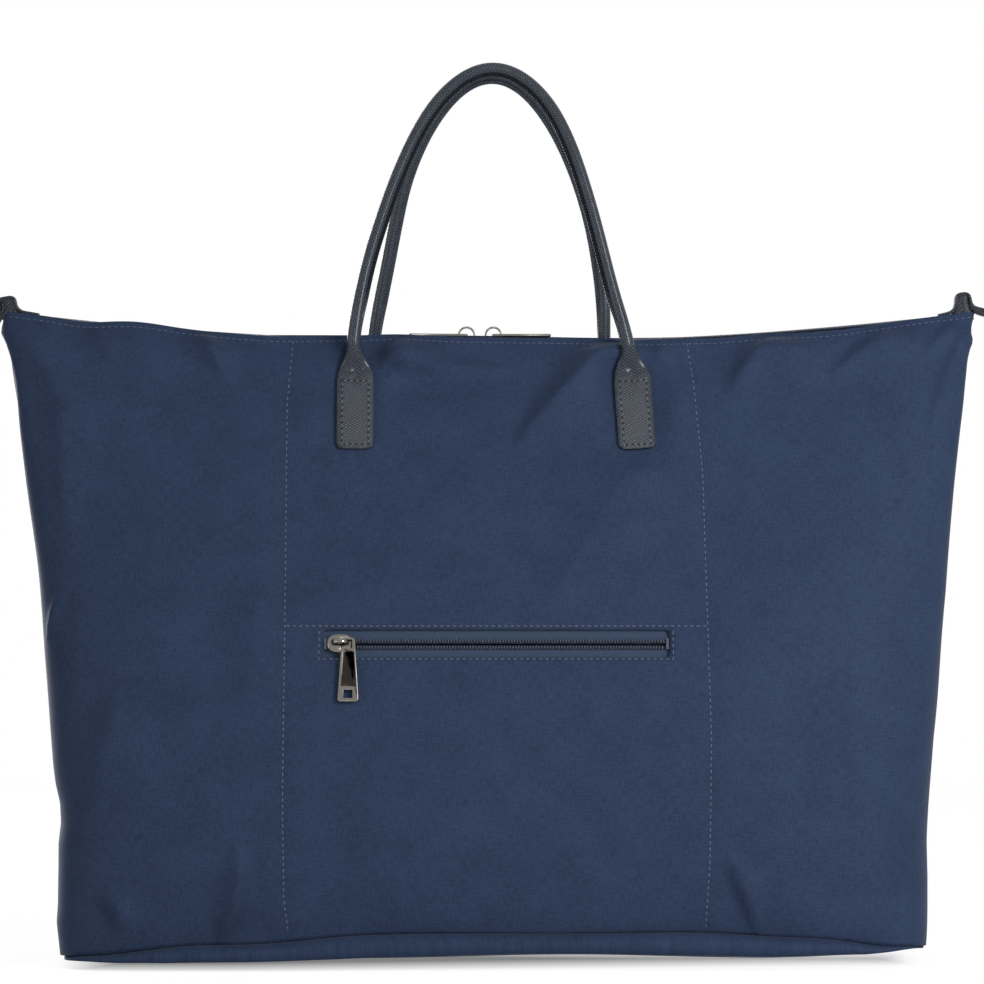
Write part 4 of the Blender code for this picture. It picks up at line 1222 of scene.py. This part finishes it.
def sewn(tree, path, pitch, side, lift, place_in_pitch=0.5):
    """Placements of stitches along a path over a surface."""
    dense = along_line(path, STITCH_SAMPLES)
    run = lengths_along(dense)
    placements = []
    for i in range(int(run[-1] / pitch)):
        at = (i + place_in_pitch) * run[-1] / int(run[-1] / pitch)
        hits = []
        for step in (-STITCH_REACH, 0.0, STITCH_REACH):
            spot = [np.interp(at + step * pitch, run, dense[:, k]) for k in (0, 1)]
            hits.append(touch(tree, spot, side))
        if all(hits) and np.linalg.norm(hits[2][0] - hits[0][0]) < LONGEST_STITCH * pitch:
            placements.append((hits[1][0] + hits[1][1] * lift, hits[2][0] - hits[0][0], hits[1][1]))
    return placements


def hem_line(waves, low, high):
    x = np.linspace(low, high, HEM_SAMPLES)
    return np.stack([x, edge_height(x) + wavy(x, waves) - HEM_BELOW_EDGE], axis=1)


def tab_frame(middle, lean):
    """The stitched rectangle of a tab, as places seen from the front."""
    right = np.array([math.cos(lean), math.sin(lean)]) * TAB_FRAME_HALF_WIDTH
    up = np.array([-math.sin(lean), math.cos(lean)]) * TAB_FRAME_HALF_HEIGHT
    corners = ((-1, 1), (-1, -1), (1, -1), (1, 1), (-1, 1))
    return [middle + right * a + up * b for a, b in corners]


THREAD = plain("thread", (0.125, 0.170, 0.250), 0.55)
TAB_THREAD = plain("tab thread", (0.130, 0.150, 0.180), 0.5)
# Needle holes are flat dark discs: painted shade inside each hole.
NEEDLE_HOLE_SHADE = plain("needle hole shade", (0.008, 0.009, 0.013), 0.8)
HEM_THREAD = plain("hem thread", (0.080, 0.112, 0.185), 0.55)

front_tree = tree_of(front_cloth)
back_tree = tree_of(back_cloth)
FRONT_SEWING = (
    LEFT_LINE,
    RIGHT_LINE,
    [(x, POCKET_LINE_HEIGHT) for x in POCKET_LINE],
    ((FRAME_LEFT, FRAME_HIGH), (FRAME_LEFT, FRAME_LOW), (FRAME_RIGHT, FRAME_LOW), (FRAME_RIGHT, FRAME_HIGH)),
)
FRONT_HEM = (-0.2805, 0.2780)
BACK_HEM = (-0.2780, 0.2780)
stitches = []
cloth_hole_shade_places = []
for path in FRONT_SEWING:
    stitches += sewn(front_tree, path, STITCH_PITCH, -1, STITCH_LIFT)
    cloth_hole_shade_places += sewn(front_tree, path, STITCH_PITCH, -1, CLOTH_HOLE_LIFT, 0.0)
hem_stitches = sewn(front_tree, hem_line(LIP_WAVES, *FRONT_HEM), STITCH_PITCH, -1, STITCH_LIFT)
hem_stitches += sewn(back_tree, hem_line(BACK_LIP_WAVES, *BACK_HEM), STITCH_PITCH, 1, STITCH_LIFT)
copies_of("cloth_stitches", small_ball(STITCH_SIZE, 6, 6), stitches, THREAD, "bag")
# Painted shade of the needle holes in the cloth.
copies_of("cloth_needle_hole_shade", small_disc(CLOTH_HOLE_RADIUS), cloth_hole_shade_places, NEEDLE_HOLE_SHADE, "bag")
copies_of("hem_stitches", small_ball(STITCH_SIZE, 6, 6), hem_stitches, HEM_THREAD, "bag")

# Stitched rectangles of the tabs: the strip, the place across and the lean of each, and the bag's side
TAB_FRAME_HEIGHT = 0.3158
TAB_FRAMES = ((front_strip, -0.0786, 0.0, -1), (front_strip, 0.0823, 0.062, -1),
              (rear_strip, -0.0700, 0.0, 1), (rear_strip, 0.0700, 0.0, 1))
tab_stitches = []
tab_hole_shade_places = []
for strip, across, lean, side in TAB_FRAMES:
    strip_tree = tree_of(strip)
    rectangle = tab_frame(np.array([across, TAB_FRAME_HEIGHT]), lean)
    tab_stitches += sewn(strip_tree, rectangle, TAB_STITCH_PITCH, side, TAB_STITCH_LIFT)
    tab_hole_shade_places += sewn(strip_tree, rectangle, TAB_STITCH_PITCH, side, TAB_HOLE_LIFT, 0.0)
copies_of("tab_stitches", small_ball(TAB_STITCH_SIZE, 6, 6), tab_stitches, TAB_THREAD, "bag")
# Painted shade of the needle holes in the tabs.
copies_of("tab_needle_hole_shade", small_disc(TAB_HOLE_RADIUS), tab_hole_shade_places, NEEDLE_HOLE_SHADE, "bag")


# Zips: coil teeth on both sides of each chain
TOOTH_PITCH = 0.00163
TOOTH_SIZE = (0.00148, 0.00050, 0.00085)
TOOTH_MIDDLE = 0.00185
TOOTH_SLANT = 0.28
TOOTH_STAGGER = 0.25
POCKET_COIL_HALF = 0.0961
TOP_COIL_HALF = 0.2565
POCKET_UP = np.array([0.0, 0.26229, 0.96499])
POCKET_OUT = np.array([0.0, -0.96499, 0.26229])
POCKET_DEPTH = -0.075235
POCKET_ORIGIN = np.array([POCKET_X, POCKET_DEPTH, POCKET_HEIGHT]) - POCKET_COIL_DEPTH * POCKET_OUT
ACROSS = np.array([1.0, 0.0, 0.0])


def tooth_steps(half_length, side):
    """Places along a chain of the teeth of one side, which stand between those of the other."""
    count = int(2 * half_length / TOOTH_PITCH)
    return [(i + 0.5 + TOOTH_STAGGER * side - count / 2) * TOOTH_PITCH for i in range(count)]


def pocket_teeth(side):
    """Teeth of the upper (1) or lower (-1) half of the pocket zip."""
    placements = []
    for x in tooth_steps(POCKET_COIL_HALF, side):
        place = POCKET_ORIGIN + ACROSS * x + POCKET_UP * side * TOOTH_MIDDLE
        placements.append((place, POCKET_UP * side - ACROSS * TOOTH_SLANT, POCKET_OUT))
    return placements


def top_teeth(side):
    """Teeth of the front (-1) or back (1) half of the top zip, along its arc."""
    placements = []
    for step in tooth_steps(TOP_COIL_HALF, side):
        turn = step / ZIP_RADIUS
        out = np.array([-math.sin(turn), 0.0, math.cos(turn)])
        run = np.array([math.cos(turn), 0.0, math.sin(turn)])
        place = np.array([0.0, side * TOOTH_MIDDLE, ZIP_CENTRE]) - out * ZIP_RADIUS
        placements.append((place, np.array([0.0, side, 0.0]) - run * TOOTH_SLANT, out))
    return placements


COIL = plain("coil", (0.075, 0.090, 0.135), 0.28)
for node, placements in (("pocket_coil_upper", pocket_teeth(1)), ("pocket_coil_lower", pocket_teeth(-1)),
                         ("top_coil_front", top_teeth(-1)), ("top_coil_back", top_teeth(1))):
    teeth = copies_of(node + "_teeth", small_ball(TOOTH_SIZE, 8, 6), placements, COIL, "bag")
    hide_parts(node)


# Metal: sliders, bails and pulls with rounded edges
SLIDER_ROUNDING = 0.0006
BAIL_ROUNDING = 0.0004
PULL_ROUNDING = 0.00022
ROUNDED_ANGLE = math.radians(32)
SMOOTH_ANGLE = math.radians(40)
FLAT_ANGLE = math.radians(1.0)
# How much longer the pocket's pull is than its solid, and the share of it that keeps its length
PULL_STRETCH = 0.0034
STRETCH_FROM = 0.25
# What counts as the floor of a sunk panel: its least depth, and how squarely it faces out
RECESS_LEAST = 0.00012
RECESS_FACING = 0.99


def polished():
    """Dark nickel, darker still in a pull's sunk panel."""
    finish = Finish("polished nickel", {"Metallic": 1.0})
    smear = finish.noise(finish.place(), 900.0, 3.0)
    sunk = finish.node("ShaderNodeAttribute", {"attribute_name": "recess"}, out=2)
    paint = finish.mix(sunk, (0.18, 0.168, 0.153), (0.030, 0.026, 0.024))
    return finish.feed(Base_Color=paint, Roughness=smear * 0.08 + 0.09)


NICKEL = polished()


def stretch_down(piece, extra):
    """Lengthens a hanging pull below its bail."""
    heights = [vertex.co.z for vertex in piece.data.vertices]
    top, drop = max(heights), max(heights) - min(heights)
    for vertex in piece.data.vertices:
        share = max(0.0, (top - vertex.co.z) / drop - STRETCH_FROM) / (1.0 - STRETCH_FROM)
        vertex.co += Vector(POCKET_UP) * (-extra * share)


def mark_recess(piece):
    """Marks the floor of a pull's sunk panel for the finish."""
    faces = piece.data.polygons
    flat = max(faces, key=lambda face: face.area).normal.copy()
    marks = np.zeros(len(piece.data.vertices))
    for side in (flat, -flat):
        top = max(face.center.dot(side) for face in faces)
        for face in faces:
            if face.normal.dot(side) > RECESS_FACING and face.center.dot(side) < top - RECESS_LEAST:
                marks[list(face.vertices)] = 1.0
    piece.data.attributes.new("recess", "FLOAT", "POINT").data.foreach_set("value", marks)


def solid_copy(node, name):
    """A copy of a CAD solid as one merged mesh."""
    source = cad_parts[node]
    piece = source.copy()
    piece.data = source.data.copy()
    piece.name = name
    bpy.context.scene.collection.objects.link(piece)
    piece.parent = None
    piece.matrix_world = source.matrix_world.copy()
    alone(piece)
    bpy.ops.object.transform_apply(location=True, rotation=True, scale=True)
    edit(piece, (bpy.ops.mesh.remove_doubles, {"threshold": 1e-6}),
         (bpy.ops.mesh.dissolve_limited, {"angle_limit": FLAT_ANGLE}))
    return piece


def rounded_copy(node, body, width, extra=0.0):
    """A copy of a CAD solid with its edges rounded, and lengthened by extra."""
    piece = solid_copy(node, node + "_polished")
    if extra:
        stretch_down(piece, extra)
    apply_modifier(piece, "BEVEL", width=width, segments=3, limit_method="ANGLE", angle_limit=ROUNDED_ANGLE,
                   use_clamp_overlap=True)
    alone(piece)
    bpy.ops.object.shade_smooth_by_angle(angle=SMOOTH_ANGLE)
    dress(piece, NICKEL)
    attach(piece, body)
    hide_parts(node)
    return piece


for prefix in ("top_left", "top_right", "pocket"):
    rounded_copy(prefix + "_slider", prefix + "_slider", SLIDER_ROUNDING)
    rounded_copy(prefix + "_bail", prefix + "_slider", BAIL_ROUNDING)
    longer = PULL_STRETCH if prefix == "pocket" else 0.0
    mark_recess(rounded_copy(prefix + "_pull", prefix + "_pull", PULL_ROUNDING, longer))


# Solids that keep their shape and get a finish
def tape_weave():
    finish = Finish("zip tape", {"Roughness": 0.8, "Sheen Weight": 0.2, "Specular IOR Level": 0.08})
    x, y, z = finish.parts(finish.place())
    rise = z + y
    twill = (x + rise).wave(0.0012).maths("MAXIMUM", (x - rise).wave(0.0012))
    paint = finish.mix(twill.between(0.3, 1.0), (0.038, 0.058, 0.106), (0.075, 0.109, 0.180))
    return finish.feed(Base_Color=paint, Normal=finish.bump(twill, 0.0002, 0.6))


def felt():
    finish = Finish("felt backing", {"Base Color": (0.05, 0.055, 0.07, 1.0), "Roughness": 0.95})
    fibres = finish.noise(finish.place(), 1400.0, 4.0)
    return finish.feed(Normal=finish.bump(fibres, 0.0003))


# How far the seam bindings sit in from the solids, behind the narrower cloth
BINDING_INSET = 0.0045
TAPE = tape_weave()
FELT = felt()
for name, side in (("side_binding_left", -1), ("side_binding_right", 1)):
    binding = solid_copy(name, name + "_set_in")
    for vertex in binding.data.vertices:
        vertex.co.x -= side * BINDING_INSET
    dress(binding, TAPE)
    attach(binding, "bag")
    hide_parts(name)
for name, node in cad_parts.items():
    if "tape" in name:
        node.material_slots[0].material = TAPE
    elif "backing" in name:
        node.material_slots[0].material = FELT
    elif "stop" in name:
        node.material_slots[0].material = COIL


# Stage: a floor that is white to the camera and in reflections, but for a painted soft shadow under the bag,
# through which its real shadow shows
FLOOR_SIZE = 30
FLOOR_DROP = -0.0006
FLOOR_GLOW = 0.94
FLOOR_FAR = (0.5, 2.5)
FLOOR_PAINT = 0.9
FLOOR_SEEN = 2.9
SHADOW_FADE = 9.1
SHADOW_DARKEST = 0.21
SHADOW_ENDS = (0.190, 0.262)
# The painted shadow is deeper at the left: places across, and its depth at each
SHADOW_DEPTHS = (-0.15, 0.20, 0.034, -0.026)
WORLD_FILL = 0.16


def background_rays(nodes):
    """1 where the camera, a reflection or a clear piece shows the background."""
    path = nodes.node("ShaderNodeLightPath", {}).socket.node
    shown = Value(nodes, path.outputs["Is Camera Ray"])
    for name in ("Is Glossy Ray", "Is Transmission Ray"):
        shown = shown.maths("MAXIMUM", Value(nodes, path.outputs[name]))
    return shown


def stage_floor():
    bpy.ops.object.select_all(action="DESELECT")
    bpy.ops.mesh.primitive_plane_add(size=FLOOR_SIZE, location=(0, 0, FLOOR_DROP))
    floor = bpy.context.object
    floor.name = "floor"
    finish = Finish("white floor", {})
    finish.tree.nodes.remove(finish.shader)
    seen = background_rays(finish)
    x, y, _ = finish.parts(finish.place())
    # Painted shadow by place: the floor's glow fades out towards the bag, and there the floor's real light
    # and shadow show through.
    deep = finish.node("ShaderNodeMapRange", {}, x, *SHADOW_DEPTHS)
    shade = (y.maths("ABSOLUTE") - deep) * SHADOW_FADE + SHADOW_DARKEST
    shade = shade.maths("MAXIMUM", x.maths("ABSOLUTE").between(*SHADOW_ENDS)).maths("MAXIMUM", SHADOW_DARKEST)
    far = y.maths("ABSOLUTE").between(*FLOOR_FAR) * (1.0 - FLOOR_GLOW) + FLOOR_GLOW
    white = shade.maths("MINIMUM", far) * seen
    paint = finish.node("ShaderNodeMapRange", {}, seen, 0.0, 1.0, FLOOR_PAINT, FLOOR_SEEN)
    diffuse = finish.node("ShaderNodeBsdfDiffuse", {}, paint)
    glow = finish.node("ShaderNodeEmission", {})
    mixed = finish.node("ShaderNodeMixShader", {}, white, diffuse, glow)
    finish.tree.links.new(mixed.socket, finish.tree.nodes["Material Output"].inputs["Surface"])
    floor.data.materials.append(finish.material)


def stage_world():
    world = bpy.data.worlds.new("studio")
    bpy.context.scene.world = world
    world.use_nodes = True
    nodes = Nodes(world.node_tree)
    nodes.tree.nodes.clear()
    strength = nodes.node("ShaderNodeMapRange", {}, background_rays(nodes), 0.0, 1.0, WORLD_FILL, 1.0)
    background = nodes.node("ShaderNodeBackground", {}, (1.0, 1.0, 1.0, 1.0), strength)
    output = nodes.tree.nodes.new("ShaderNodeOutputWorld")
    nodes.tree.links.new(background.socket, output.inputs["Surface"])


def area_light(name, place, target, size, power):
    light = bpy.data.lights.new(name, "AREA")
    light.shape = "RECTANGLE"
    light.size, light.size_y = size
    light.energy = power
    obj = bpy.data.objects.new(name, light)
    bpy.context.scene.collection.objects.link(obj)
    obj.location = place
    obj.rotation_euler = (Vector(target) - Vector(place)).to_track_quat("-Z", "Y").to_euler()


stage_floor()
stage_world()
area_light("key", (0.90, -1.25, 0.62), (0, 0, 0.2), (0.55, 0.55), 12.3)
area_light("front", (0.1, -1.9, 2.2), (0, 0, 0.3), (0.6, 0.5), 2.4)
area_light("low front", (-0.1, -3.4, 0.62), (0, 0, 0.4), (0.35, 0.35), 3.5)
area_light("fill", (-2.8, -1.9, 0.6), (0, 0, 0.2), (1.4, 1.4), 11)
area_light("rear", (-0.9, 1.6, 0.45), (0, 0, 0.2), (0.8, 0.8), 13)

camera_data = bpy.data.cameras.new("camera")
camera_data.lens = 220.8
camera_data.sensor_width = 36.0
camera = bpy.data.objects.new("camera", camera_data)
bpy.context.scene.collection.objects.link(camera)
camera.location = (0, -CAMERA_DISTANCE, CAMERA_HEIGHT)
camera.rotation_euler = (math.pi / 2, 0, 0)
bpy.context.scene.camera = camera
bpy.context.scene.view_settings.view_transform = "Standard"
